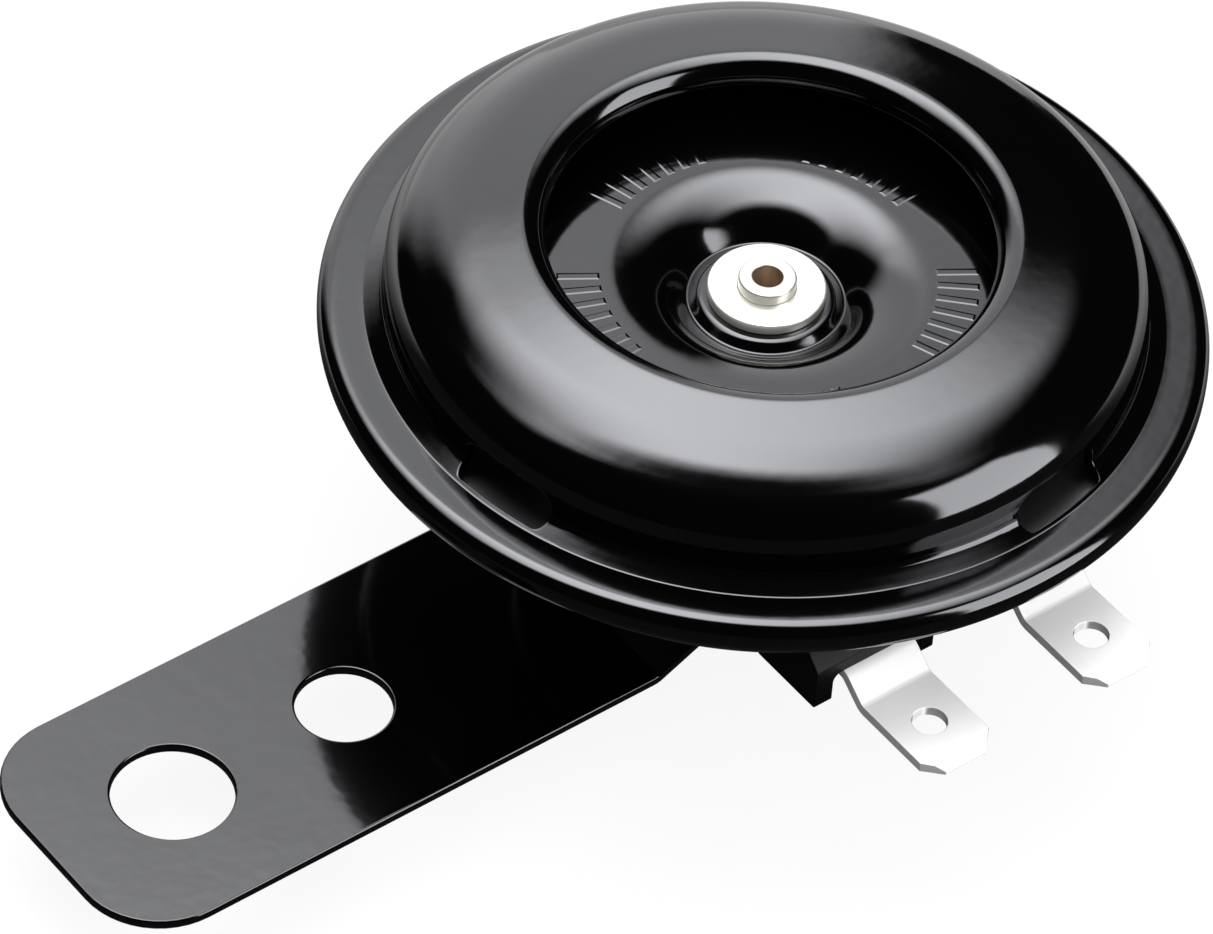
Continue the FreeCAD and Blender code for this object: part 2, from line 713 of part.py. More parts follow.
def tuning_screw():
    """Slotted screw whose tip bears on the fixed contact arm."""
    seat = -shelf_depth - bush_collar_height - tuning_head_gap
    shank = post(tuning_reach, 0, tuning_radius, seat - 0.1, arm_level() - tuning_tip_gap)
    tip = [e for e in shank.Edges if e.BoundBox.ZMin > arm_level() - tuning_tip_gap - 0.01]
    shank = shank.makeChamfer(0.4, tip)
    head = post(tuning_reach, 0, tuning_head_radius, seat - tuning_head_height, seat)
    rim = [e for e in head.Edges if e.BoundBox.ZMax < seat - tuning_head_height + 0.01]
    head = head.makeFillet(0.4, rim)
    slot = block(tuning_reach - 4, tuning_reach + 4, -tuning_slot_width / 2, tuning_slot_width / 2,
                 seat - tuning_head_height - 1, seat - tuning_head_height + tuning_slot_depth)
    return shank.fuse(head).removeSplitter().cut(slot)


def armature_levels():
    """Heights up the armature: foot, collar foot, diaphragm's back, spacer foot, disc seat, washer foot."""
    foot = floor_inside + core_height + air_gap
    collar = leaf_level() + leaf_gauge + leaf_gap
    back = diaphragm_top + plateau_rise - diaphragm_gauge
    front = diaphragm_top + plateau_rise
    seat = front + spacer_height
    return foot, collar, back, front, seat, seat + tone_gauge


def armature():
    foot, collar, back, front, seat, washer = armature_levels()
    shoulder = back - back_washer_thickness
    head = washer + front_washer_thickness
    body = disc(armature_radius, foot, shoulder)
    body = body.fuse(disc(collar_radius, collar, collar + collar_thickness))
    body = body.fuse(disc(armature_stud_radius, shoulder - 0.5, head + peened_head_height))
    body = body.fuse(disc(peened_head_radius, head, head + peened_head_height)).removeSplitter()
    lip = [e for e in body.Edges if e.BoundBox.ZMin > head + peened_head_height - 0.01]
    body = body.makeFillet(0.15, lip)
    top = head + peened_head_height
    return body.cut(disc(peened_bore_radius, top - peened_bore_depth, top + 1))


def back_washer():
    back = armature_levels()[2]
    return ring(armature_stud_radius + fit_gap, back_washer_radius, back - back_washer_thickness, back)


def disc_spacer():
    front, seat = armature_levels()[3:5]
    return ring(armature_stud_radius + fit_gap, spacer_radius, front, seat)


def tone_disc():
    """Dished plate: flat seat, groove round it, steep wall and a flat outer ring."""
    top = armature_levels()[5]
    points = [
        (tone_disc_radius, top + tone_ring_rise),
        (tone_ring_radius, top + tone_ring_rise),
        (tone_groove_radius, top - tone_groove_depth),
        (tone_seat_radius, top),
        (armature_stud_radius + fit_gap, top),
    ]
    return turned_sheet(points, [tone_ring_bend, tone_groove_bend, tone_seat_bend], tone_gauge)


def front_washer():
    low = armature_levels()[5]
    washer = ring(armature_stud_radius + fit_gap, front_washer_radius, low, low + front_washer_thickness)
    rim = [e for e in washer.Edges if e.BoundBox.ZMin > low + front_washer_thickness - 0.01
           and e.BoundBox.XLength > 2 * front_washer_radius - 0.1]
    return washer.makeFillet(front_washer_round, rim)


def all_pieces():
    left, right = tab_centres()
    return {
        "front_cover": front_cover(),
        "rear_housing": rear_housing(),
        "cover_gasket": cover_gasket(),
        "diaphragm": diaphragm(),
        "diaphragm_gasket": diaphragm_gasket(),
        "pole_core": pole_core(),
        "coil_bobbin": coil_bobbin(),
        "coil_winding": coil_winding(),
        "mounting_bracket": mounting_bracket(),
        "bracket_washer": bracket_washer(),
        "lock_washer": lock_washer(),
        "mounting_nut": mounting_nut(),
        "terminal_block": terminal_block(),
        "terminal_left": terminal(left),
        "terminal_right": terminal(right),
        "inner_plate": inner_plate(),
        "terminal_rivets": terminal_rivets(),
        "contact_insulator": contact_insulator(),
        "fixed_contact_arm": fixed_contact_arm(),
        "fixed_contact": fixed_contact(),
        "cap_insulator": cap_insulator(),
        "breaker_rivets": breaker_rivets(),
        "screw_bush": screw_bush(),
        "armature": armature(),
        "back_washer": back_washer(),
        "disc_spacer": disc_spacer(),
        "tone_disc": tone_disc(),
        "front_washer": front_washer(),
        "breaker_leaf": breaker_leaf(),
        "moving_contact": moving_contact(),
        "tuning_screw": tuning_screw(),
    }


def main():
    os.makedirs("parts", exist_ok=True)
    for name, shape in all_pieces().items():
        shape.translate(to_part_frame)
        shape.exportStep("parts/" + name + ".step")
        print(name, len(shape.Solids), "solid", round(shape.Volume, 2), "mm3", "valid" if shape.isValid() else "BAD")


main()
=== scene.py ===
import json
import math
import bpy
import bmesh
import numpy as np
from mathutils import Matrix, Vector


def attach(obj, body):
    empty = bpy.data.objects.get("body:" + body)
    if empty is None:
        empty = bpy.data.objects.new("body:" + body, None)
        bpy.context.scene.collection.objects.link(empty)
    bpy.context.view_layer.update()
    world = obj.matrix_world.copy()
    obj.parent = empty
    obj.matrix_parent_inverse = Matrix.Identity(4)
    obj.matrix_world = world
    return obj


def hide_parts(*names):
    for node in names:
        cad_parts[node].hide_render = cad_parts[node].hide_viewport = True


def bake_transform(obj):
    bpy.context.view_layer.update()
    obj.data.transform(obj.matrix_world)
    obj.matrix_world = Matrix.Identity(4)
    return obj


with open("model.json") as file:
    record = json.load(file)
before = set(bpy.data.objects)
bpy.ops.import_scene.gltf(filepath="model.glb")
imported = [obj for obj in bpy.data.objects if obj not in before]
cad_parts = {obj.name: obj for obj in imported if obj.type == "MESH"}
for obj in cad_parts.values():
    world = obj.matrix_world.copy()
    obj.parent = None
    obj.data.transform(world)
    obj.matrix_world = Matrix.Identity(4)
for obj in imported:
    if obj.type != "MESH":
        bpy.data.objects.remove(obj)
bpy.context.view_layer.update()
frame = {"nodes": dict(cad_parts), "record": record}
scene = bpy.context.scene
mm = 0.001

# The horn's axis stands up at x = 52 mm, and the middle of its rim is 19.5 mm above the strap's back.
# All sizes below are in mm, measured from that axis and from the rim's middle.
axisX = 52.0
rimZ = 19.5

print("frame loaded:", len(frame["nodes"]), "nodes")


# Paths, grids and plates

def roundedPath(points, bends, step=0.5):
    # Polyline with each corner replaced by an arc of its bend radius that touches both sides.
    pts = np.asarray(points, float)
    out = [pts[0]]
    here = pts[0]
    for i in range(1, len(pts) - 1):
        before = (pts[i] - pts[i - 1]) / np.linalg.norm(pts[i] - pts[i - 1])
        after = (pts[i + 1] - pts[i]) / np.linalg.norm(pts[i + 1] - pts[i])
        turn = before[0] * after[1] - before[1] * after[0]
        half = math.atan2(abs(turn), before @ after) / 2
        radius = bends[i - 1]
        start = pts[i] - before * radius * math.tan(half)
        side = np.array([-before[1], before[0]]) * math.copysign(1, turn)
        centre = start + side * radius
        first = math.atan2(*(start - centre)[::-1])
        sweep = 2 * half * math.copysign(1, turn)
        # an arc has at least six parts, each about a step long or turned by 0.09 radians, or less
        parts = max(6, int(abs(sweep) * radius / step), int(abs(sweep) / 0.09))
        angles = first + sweep * np.linspace(0, 1, parts + 1)
        arc = centre + radius * np.stack([np.cos(angles), np.sin(angles)], 1)
        out += list(linePoints(here, start, step)) + list(arc[1:])
        here = arc[-1]
    out += list(linePoints(here, pts[-1], step))
    return np.array(out)


def linePoints(a, b, step):
    # Evenly spaced points from a to b without a itself.
    parts = max(1, int(math.ceil(np.linalg.norm(b - a) / step)))
    return a + (b - a) * np.linspace(0, 1, parts + 1)[1:, None]


def runAlong(path):
    # Distance from a path's first point to each of its points, measured along the path.
    return np.r_[0, np.cumsum(np.hypot(*np.diff(path, axis=0).T))]


def spinPoints(radii, heights, angles):
    # Points at each radius and height, turned to each angle round the horn's axis; rows follow the path.
    x = radii * np.cos(angles)
    y = radii * np.sin(angles)
    z = np.broadcast_to(heights, x.shape)
    return np.stack([x + axisX, y, z + rimZ], -1).reshape(-1, 3) * mm


def gridFaces(rows, columns, wrapRows=False):
    # Quads between neighbouring rows and columns of a grid whose last column meets its first.
    i = np.arange(rows if wrapRows else rows - 1)
    i, j = [a.ravel() for a in np.meshgrid(i, np.arange(columns), indexing="ij")]
    nextRow, nextColumn = (i + 1) % rows, (j + 1) % columns
    return np.stack([i * columns + j, i * columns + nextColumn, nextRow * columns + nextColumn,
                     nextRow * columns + j], 1)


def newMesh(name, points, faces):
    # Mesh from arrays of points and quads; points that no face uses are dropped.
    used, faces = np.unique(faces, return_inverse=True)
    mesh = bpy.data.meshes.new(name)
    mesh.from_pydata(np.asarray(points)[used].tolist(), [], faces.reshape(-1, 4).tolist())
    mesh.validate()
    obj = bpy.data.objects.new(name, mesh)
    scene.collection.objects.link(obj)
    return obj


def cleanMesh(obj):
    # Merges seams and poles, and turns a closed skin's faces outwards.
    bm = bmesh.new()
    bm.from_mesh(obj.data)
    bmesh.ops.remove_doubles(bm, verts=bm.verts, dist=1e-6)
    bmesh.ops.dissolve_degenerate(bm, edges=bm.edges, dist=1e-7)
    bmesh.ops.recalc_face_normals(bm, faces=bm.faces)
    bm.to_mesh(obj.data)
    bm.free()
    return obj


def shade(obj, sharp=40):
    # Smooth shading; edges that turn by more than the given angle stay sharp.
    obj.data.polygons.foreach_set("use_smooth", np.ones(len(obj.data.polygons), bool))
    obj.data.set_sharp_from_angle(angle=math.radians(sharp))
    obj.data.update()
    return obj


def spinSkin(name, path, columns, closed=False):
    # Point (radius, height) of the path goes to (radius cos a, radius sin a, height) for each angle a.
    angles = np.linspace(0, 2 * math.pi, columns, endpoint=False)[None, :]
    return newMesh(name, spinPoints(path[:, :1], path[:, 1:], angles), gridFaces(len(path), columns, closed))


def addThickness(obj, gauge, edge=0.0):
    # Gives a skin its gauge inwards, then rounds the cut edges.
    solid = obj.modifiers.new("gauge", "SOLIDIFY")
    solid.thickness = gauge * mm
    solid.offset = -1
    solid.use_even_offset = True
    solid.use_quality_normals = True
    if edge:
        roundEdges(obj, edge, 2, 50)
    return obj


def roundEdges(obj, width, segments, angle):
    # Bevels the edges that turn by more than the given angle.
    bevel = obj.modifiers.new("edge", "BEVEL")
    bevel.width = width * mm
    bevel.segments = segments
    bevel.limit_method = "ANGLE"
    bevel.angle_limit = math.radians(angle)
    return obj


def applyModifiers(obj):
    # Replaces the mesh by what its modifiers make of it.
    mesh = bpy.data.meshes.new_from_object(obj.evaluated_get(bpy.context.evaluated_depsgraph_get()))
    obj.modifiers.clear()
    obj.data = mesh
    return obj


def smoothCopy(name, node, width, segments):
    # Copy of a CAD node: seams merged, round faces smoothed and sharp edges broken by a small bevel.
    obj = bpy.data.objects.new(name, frame["nodes"][node].data.copy())
    scene.collection.objects.link(obj)
    obj.data.materials.clear()
    bm = bmesh.new()
    bm.from_mesh(obj.data)
    bmesh.ops.remove_doubles(bm, verts=bm.verts, dist=2e-6)
    if width:
        bmesh.ops.dissolve_limit(bm, angle_limit=math.radians(1.0), verts=bm.verts, edges=bm.edges)
    bm.to_mesh(obj.data)
    bm.free()
    if width:
        roundEdges(obj, width, segments, 30)
        applyModifiers(obj)
    shade(obj, 60 if width else 30)
    if width:
        weigh = obj.modifiers.new("weigh", "WEIGHTED_NORMAL")
        weigh.keep_sharp = True
    return obj


def plateBlank(name, outline, holes, gauge, edge):
    # Flat blank with rounded edges: outline and holes in plan, its top face at height 0.
    curve = bpy.data.curves.new(name, "CURVE")
    curve.dimensions = "2D"
    curve.fill_mode = "BOTH"
    curve.extrude = (gauge / 2 - edge) * mm
    curve.bevel_depth = edge * mm
    curve.bevel_resolution = 2
    curve.offset = -edge * mm
    for loop in [outline] + holes:
        spline = curve.splines.new("POLY")
        spline.points.add(len(loop) - 1)
        flatLoop = np.asarray(loop) * mm
        spline.points.foreach_set("co", np.c_[flatLoop, np.zeros(len(loop)), np.ones(len(loop))].ravel())
        spline.use_cyclic_u = True
    maker = bpy.data.objects.new(name, curve)
    scene.collection.objects.link(maker)
    mesh = bpy.data.meshes.new_from_object(maker.evaluated_get(bpy.context.evaluated_depsgraph_get()))
    bpy.data.objects.remove(maker)
    mesh.transform(Matrix.Translation((0, 0, -gauge / 2 * mm)))
    obj = bpy.data.objects.new(name, mesh)
    scene.collection.objects.link(obj)
    return cleanMesh(obj)


def sliceAlong(obj, axis, places):
    # Cuts extra edges across a blank, so that it can bend there.
    bm = bmesh.new()
    bm.from_mesh(obj.data)
    normal = [float(axis == k) for k in range(3)]
    for spot in places:
        bmesh.ops.bisect_plane(bm, geom=bm.verts[:] + bm.edges[:] + bm.faces[:], dist=1e-7,
                               plane_co=[spot * mm * n for n in normal], plane_no=normal)
    bm.to_mesh(obj.data)
    bm.free()


def shadePlate(obj):
    # edges between the flat faces and the rounded edge stay sharp, so that the flats shade flat
    shade(obj)
    bm = bmesh.new()
    bm.from_mesh(obj.data)
    for edge in bm.edges:
        flats = [abs(face.normal.z) > 0.999 for face in edge.link_faces]
        if len(flats) == 2 and flats[0] != flats[1]:
            edge.smooth = False
    bm.to_mesh(obj.data)
    bm.free()


def turnOutwards(obj):
    # Turns a closed piece's faces outwards.
    bm = bmesh.new()
    bm.from_mesh(obj.data)
    bmesh.ops.recalc_face_normals(bm, faces=bm.faces)
    bm.to_mesh(obj.data)
    bm.free()


def readPoints(obj):
    # The mesh's points as rows of x, y and z in mm.
    co = np.zeros(len(obj.data.vertices) * 3)
    obj.data.vertices.foreach_get("co", co)
    return co.reshape(-1, 3) / mm


def writePoints(obj, co):
    obj.data.vertices.foreach_set("co", (co * mm).ravel())
    obj.data.update()


def bendAlong(obj, axis, path, depth):
    # Bends a flat blank: its length follows the path, its depth follows the path's normal.
    co = readPoints(obj)
    run = runAlong(path)
    way = np.gradient(path, run, axis=0)
    way /= np.linalg.norm(way, axis=1, keepdims=True)
    s = co[:, axis]
    flat = np.stack([np.interp(s, run, path[:, k]) for k in (0, 1)], 1)
    ahead = np.stack([np.interp(s, run, way[:, k]) for k in (0, 1)], 1)
    ahead /= np.linalg.norm(ahead, axis=1, keepdims=True)
    normal = np.stack([-ahead[:, 1], ahead[:, 0]], 1) * depth
    bent = flat + normal * co[:, 2:3]
    co[:, axis] = bent[:, 0]
    co[:, 2] = bent[:, 1]
    writePoints(obj, co + [axisX, 0, rimZ])


def circlePoints(x, y, radius, count):
    # Point for each angle a at (x + radius cos a, y + radius sin a).
    angle = np.linspace(0, 2 * math.pi, count, endpoint=False)
    return np.stack([x + radius * np.cos(angle), y + radius * np.sin(angle)], 1)


def place(obj, body, nodes, material):
    # Hands a finished piece to the frame with its finish; a piece with no body is attached to none.
    obj.data.materials.clear()
    obj.data.materials.append(material)
    if body:
        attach(obj, body)
    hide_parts(*nodes)
    return obj


# Finishes

# one unit of a group's height stands out by its relief, in metres
fineRelief = 0.00001
grainRelief = 0.00002


def newGroup(name, inputs, outputs):
    group = bpy.data.node_groups.new(name, "ShaderNodeTree")
    for label, value in inputs:
        kind = "NodeSocketVector" if isinstance(value, tuple) else "NodeSocketFloat"
        socket = group.interface.new_socket(name=label, in_out="INPUT", socket_type=kind)
        socket.default_value = value
    for label, kind in outputs:
        group.interface.new_socket(name=label, in_out="OUTPUT", socket_type=kind)
    return group, group.nodes.new("NodeGroupInput"), group.nodes.new("NodeGroupOutput")


def mathNode(tree, operation, *values, clamp=False):
    node = tree.nodes.new("ShaderNodeMath")
    node.operation = operation
    node.use_clamp = clamp
    for k, value in enumerate(values):
        if isinstance(value, (int, float)):
            node.inputs[k].default_value = value
        else:
            tree.links.new(value, node.inputs[k])
    return node.outputs[0]


def vectorNode(tree, operation, a, b=None, out=0):
    node = tree.nodes.new("ShaderNodeVectorMath")
    node.operation = operation
    for k, value in enumerate((a, b)):
        if value is None:
            continue
        if isinstance(value, tuple):
            node.inputs[k].default_value = value
        else:
            tree.links.new(value, node.inputs[k])
    return node.outputs[out]


def noiseNode(tree, vector, scale, detail=2.0, roughness=0.5):
    node = tree.nodes.new("ShaderNodeTexNoise")
    node.inputs["Detail"].default_value = detail
    node.inputs["Roughness"].default_value = roughness
    tree.links.new(vector, node.inputs["Vector"])
    if isinstance(scale, (int, float)):
        node.inputs["Scale"].default_value = scale
    else:
        tree.links.new(scale, node.inputs["Scale"])
    return node.outputs["Fac"]


def smoothStep(tree, value, low, high):
    node = tree.nodes.new("ShaderNodeMapRange")
    node.interpolation_type = "SMOOTHSTEP"
    for label, item in (("Value", value), ("From Min", low), ("From Max", high)):
        if isinstance(item, (int, float)):
            node.inputs[label].default_value = item
        else:
            tree.links.new(item, node.inputs[label])
    return node.outputs["Result"]


def lacquerSkinGroup():
    # Sprayed lacquer: fine orange peel over a slow waviness of the pressed sheet, and a spread of gloss.
    group, given, result = newGroup("lacquerSkin", [
        ("Peel Scale", 700.0), ("Peel Height", 1.0), ("Wave Scale", 60.0), ("Wave Height", 1.0),
        ("Haze Scale", 220.0), ("Gloss", 0.06), ("Gloss Spread", 0.03)],
        [("Normal", "NodeSocketVector"), ("Roughness", "NodeSocketFloat")])
    where = group.nodes.new("ShaderNodeTexCoord").outputs["Object"]
    peel = noiseNode(group, where, given.outputs["Peel Scale"], 1.0)
    wave = noiseNode(group, where, given.outputs["Wave Scale"], 1.0)
    height = mathNode(group, "ADD", mathNode(group, "MULTIPLY", peel, given.outputs["Peel Height"]),
                      mathNode(group, "MULTIPLY", wave, given.outputs["Wave Height"]))
    bump = group.nodes.new("ShaderNodeBump")
    bump.inputs["Distance"].default_value = fineRelief
    group.links.new(height, bump.inputs["Height"])
    group.links.new(bump.outputs["Normal"], result.inputs["Normal"])
    haze = noiseNode(group, where, given.outputs["Haze Scale"], 4.0)
    uneven = mathNode(group, "SUBTRACT", haze, 0.5)
    spread = mathNode(group, "MULTIPLY", uneven, given.outputs["Gloss Spread"])
    group.links.new(mathNode(group, "ADD", spread, given.outputs["Gloss"]), result.inputs["Roughness"])
    return group


def stampedTicksGroup():
    # Plain stamped marks: short raised bars set round a circle, in groups with gaps between.
    group, given, result = newGroup("stampedTicks", [
        ("Centre", (axisX * mm, 0.0, 0.0)), ("Bars", 60.0), ("Radius", 0.0138), ("Length", 0.0014),
        ("Width", 0.00018), ("Edge", 0.00018), ("Groups", 5.0), ("Filled Share", 0.6)],
        [("Height", "NodeSocketFloat")])
    where = group.nodes.new("ShaderNodeTexCoord").outputs["Object"]
    shifted = vectorNode(group, "SUBTRACT", where, given.outputs["Centre"])
    apart = group.nodes.new("ShaderNodeSeparateXYZ")
    group.links.new(shifted, apart.inputs[0])
    x, y = apart.outputs["X"], apart.outputs["Y"]
    angle = mathNode(group, "DIVIDE", mathNode(group, "ARCTAN2", y, x), 2 * math.pi)
    radius = mathNode(group, "SQRT", mathNode(group, "ADD", mathNode(group, "MULTIPLY", x, x),
                                              mathNode(group, "MULTIPLY", y, y)))
    turn = mathNode(group, "ADD", angle, 1.0)
    bar = mathNode(group, "MULTIPLY", turn, given.outputs["Bars"])
    offCentre = mathNode(group, "SUBTRACT", mathNode(group, "FRACT", bar), 0.5)
    pitch = mathNode(group, "DIVIDE", mathNode(group, "MULTIPLY", radius, 2 * math.pi), given.outputs["Bars"])
    sideways = mathNode(group, "ABSOLUTE", mathNode(group, "MULTIPLY", offCentre, pitch))
    across = mathNode(group, "SUBTRACT", sideways, given.outputs["Width"])
    outwards = mathNode(group, "ABSOLUTE", mathNode(group, "SUBTRACT", radius, given.outputs["Radius"]))
    along = mathNode(group, "SUBTRACT", outwards, given.outputs["Length"])
    outside = mathNode(group, "MAXIMUM", across, along)
    bars = mathNode(group, "SUBTRACT", 1.0, smoothStep(group, outside, 0.0, given.outputs["Edge"]))
    # the circle is shared among the groups, and bars fill only the first part of each share
    share = mathNode(group, "FRACT", mathNode(group, "MULTIPLY", turn, given.outputs["Groups"]))
    kept = mathNode(group, "LESS_THAN", share, given.outputs["Filled Share"])
    group.links.new(mathNode(group, "MULTIPLY", bars, kept), result.inputs["Height"])
    return group


def brushedMetalGroup():
    # Plated metal: fine lines along one axis, slow cloudiness, and the bump of both.
    group, given, result = newGroup("brushedMetal", [
        ("Stretch", (1.0, 1.0, 1.0)), ("Line Scale", 2500.0), ("Line Height", 1.0), ("Cloud Scale", 180.0),
        ("Gloss", 0.2), ("Gloss Spread", 0.15)],
        [("Mask", "NodeSocketFloat"), ("Roughness", "NodeSocketFloat"), ("Normal", "NodeSocketVector")])
    where = group.nodes.new("ShaderNodeTexCoord").outputs["Object"]
    drawn = vectorNode(group, "MULTIPLY", where, given.outputs["Stretch"])
    lines = noiseNode(group, drawn, given.outputs["Line Scale"], 2.0)
    cloud = noiseNode(group, where, given.outputs["Cloud Scale"], 3.0, 0.6)
    mixed = mathNode(group, "MULTIPLY", mathNode(group, "ADD", lines, cloud), 0.5)
    group.links.new(mixed, result.inputs["Mask"])
    uneven = mathNode(group, "SUBTRACT", mixed, 0.5)
    spread = mathNode(group, "MULTIPLY", uneven, given.outputs["Gloss Spread"])
    group.links.new(mathNode(group, "ADD", spread, given.outputs["Gloss"]), result.inputs["Roughness"])
    bump = group.nodes.new("ShaderNodeBump")
    bump.inputs["Distance"].default_value = fineRelief
    group.links.new(mathNode(group, "MULTIPLY", lines, given.outputs["Line Height"]), bump.inputs["Height"])
    group.links.new(bump.outputs["Normal"], result.inputs["Normal"])
    return group


def mouldedGrainGroup():
    # Moulded or pressed matter: a fine grain with slightly uneven gloss and tone.
    group, given, result = newGroup("mouldedGrain", [
        ("Grain Scale", 3000.0), ("Grain Height", 1.0), ("Patch Scale", 250.0), ("Gloss", 0.45),
        ("Gloss Spread", 0.15)],
        [("Mask", "NodeSocketFloat"), ("Roughness", "NodeSocketFloat"), ("Normal", "NodeSocketVector")])
    where = group.nodes.new("ShaderNodeTexCoord").outputs["Object"]
    grain = noiseNode(group, where, given.outputs["Grain Scale"], 3.0, 0.6)
    patch = noiseNode(group, where, given.outputs["Patch Scale"], 3.0)
    group.links.new(patch, result.inputs["Mask"])
    uneven = mathNode(group, "SUBTRACT", patch, 0.5)
    spread = mathNode(group, "MULTIPLY", uneven, given.outputs["Gloss Spread"])
    group.links.new(mathNode(group, "ADD", spread, given.outputs["Gloss"]), result.inputs["Roughness"])
    bump = group.nodes.new("ShaderNodeBump")
    bump.inputs["Distance"].default_value = grainRelief
    group.links.new(mathNode(group, "MULTIPLY", grain, given.outputs["Grain Height"]), bump.inputs["Height"])
    group.links.new(bump.outputs["Normal"], result.inputs["Normal"])
    return group


groups = {"lacquer": lacquerSkinGroup(), "ticks": stampedTicksGroup(), "brushed": brushedMetalGroup(),
          "grain": mouldedGrainGroup()}


def newMaterial(name, **sockets):
    # A material with a Principled surface, its plain values set on the shader's own sockets.
    material = bpy.data.materials.new(name)
    material.use_nodes = True
    surface = material.node_tree.nodes["Principled BSDF"]
    for label, value in sockets.items():
        surface.inputs[label.replace("_", " ")].default_value = value
    return material, material.node_tree, surface


def addGroup(tree, key, **values):
    node = tree.nodes.new("ShaderNodeGroup")
    node.node_tree = groups[key]
    for label, value in values.items():
        node.inputs[label.replace("_", " ")].default_value = value
    return node


def tintBetween(tree, surface, mask, first, second):
    mix = tree.nodes.new("ShaderNodeMix")
    mix.data_type = "RGBA"
    tree.links.new(mask, mix.inputs["Factor"])
    mix.inputs["A"].default_value = (*first, 1)
    mix.inputs["B"].default_value = (*second, 1)
    tree.links.new(mix.outputs["Result"], surface.inputs["Base Color"])


def lacquerMaterial(name, peel, wave, gloss, marks=0.0):
    # clear lacquer over black: the gloss is faintly blue
    material, tree, surface = newMaterial(name, Metallic=0.0, IOR=1.8, Specular_Tint=(0.94, 0.95, 1.0, 1.0))
    skin = addGroup(tree, "lacquer", Peel_Height=peel, Wave_Height=wave, Gloss=gloss, Gloss_Spread=0.02)
    normal = skin.outputs["Normal"]
    if marks:
        ticks = addGroup(tree, "ticks")
        bump = tree.nodes.new("ShaderNodeBump")
        bump.inputs["Distance"].default_value = marks * mm
        tree.links.new(ticks.outputs["Height"], bump.inputs["Height"])
        tree.links.new(normal, bump.inputs["Normal"])
        normal = bump.outputs["Normal"]
    tree.links.new(normal, surface.inputs["Normal"])
    tree.links.new(skin.outputs["Roughness"], surface.inputs["Roughness"])
    tintBetween(tree, surface, skin.outputs["Roughness"], (0.0005, 0.0005, 0.0006), (0.0009, 0.0009, 0.0009))
    return material


def metalMaterial(name, first, second, stretch=(1.0, 1.0, 1.0), height=1.0, gloss=0.2, metallic=1.0):
    material, tree, surface = newMaterial(name, Metallic=metallic, IOR=1.5)
    brushed = addGroup(tree, "brushed", Stretch=stretch, Line_Height=height, Gloss=gloss)
    tintBetween(tree, surface, brushed.outputs["Mask"], first, second)
    tree.links.new(brushed.outputs["Roughness"], surface.inputs["Roughness"])
    tree.links.new(brushed.outputs["Normal"], surface.inputs["Normal"])
    return material


def tintWhere(material, mask, tint):
    # lays a tint over the material's base colour where the mask is 1
    tree = material.node_tree
    surface = tree.nodes["Principled BSDF"]
    mix = tree.nodes.new("ShaderNodeMix")
    mix.data_type = "RGBA"
    tree.links.new(mask, mix.inputs["Factor"])
    tree.links.new(surface.inputs["Base Color"].links[0].from_socket, mix.inputs["A"])
    mix.inputs["B"].default_value = (*tint, 1)
    tree.links.new(mix.outputs["Result"], surface.inputs["Base Color"])
    return material


def stainBore(material, radius, stain):
    # inside the given distance from the horn's axis the plating has a stain
    tree = material.node_tree
    where = tree.nodes.new("ShaderNodeTexCoord").outputs["Object"]
    fromAxis = vectorNode(tree, "SUBTRACT", where, (axisX * mm, 0.0, 0.0))
    away = vectorNode(tree, "LENGTH", vectorNode(tree, "MULTIPLY", fromAxis, (1.0, 1.0, 0.0)), out=1)
    return tintWhere(material, mathNode(tree, "LESS_THAN", away, radius * mm), stain)


def cutSidesAndPaintedShade(material, tint):
    # the cut sides of the strip are bare steel, darker than its tinned faces, and also carry painted shade:
    # faces turned towards ±x, the hole walls among them, are painted darker, and the cut tip a little
    tree = material.node_tree
    apart = tree.nodes.new("ShaderNodeSeparateXYZ")
    tree.links.new(tree.nodes.new("ShaderNodeTexCoord").outputs["Normal"], apart.inputs[0])
    tip = mathNode(tree, "MULTIPLY", smoothStep(tree, apart.outputs["Y"], -0.9, -0.98), 0.35)
    sides = smoothStep(tree, mathNode(tree, "ABSOLUTE", apart.outputs["X"]), 0.3, 0.6)
    return tintWhere(material, mathNode(tree, "MAXIMUM", sides, tip), tint)


def mouldedMaterial(name, first, second, height=1.0, gloss=0.45, ior=1.5):
    material, tree, surface = newMaterial(name, Metallic=0.0, IOR=ior)
    grain = addGroup(tree, "grain", Grain_Height=height, Gloss=gloss)
    tintBetween(tree, surface, grain.outputs["Mask"], first, second)
    tree.links.new(grain.outputs["Roughness"], surface.inputs["Roughness"])
    tree.links.new(grain.outputs["Normal"], surface.inputs["Normal"])
    return material


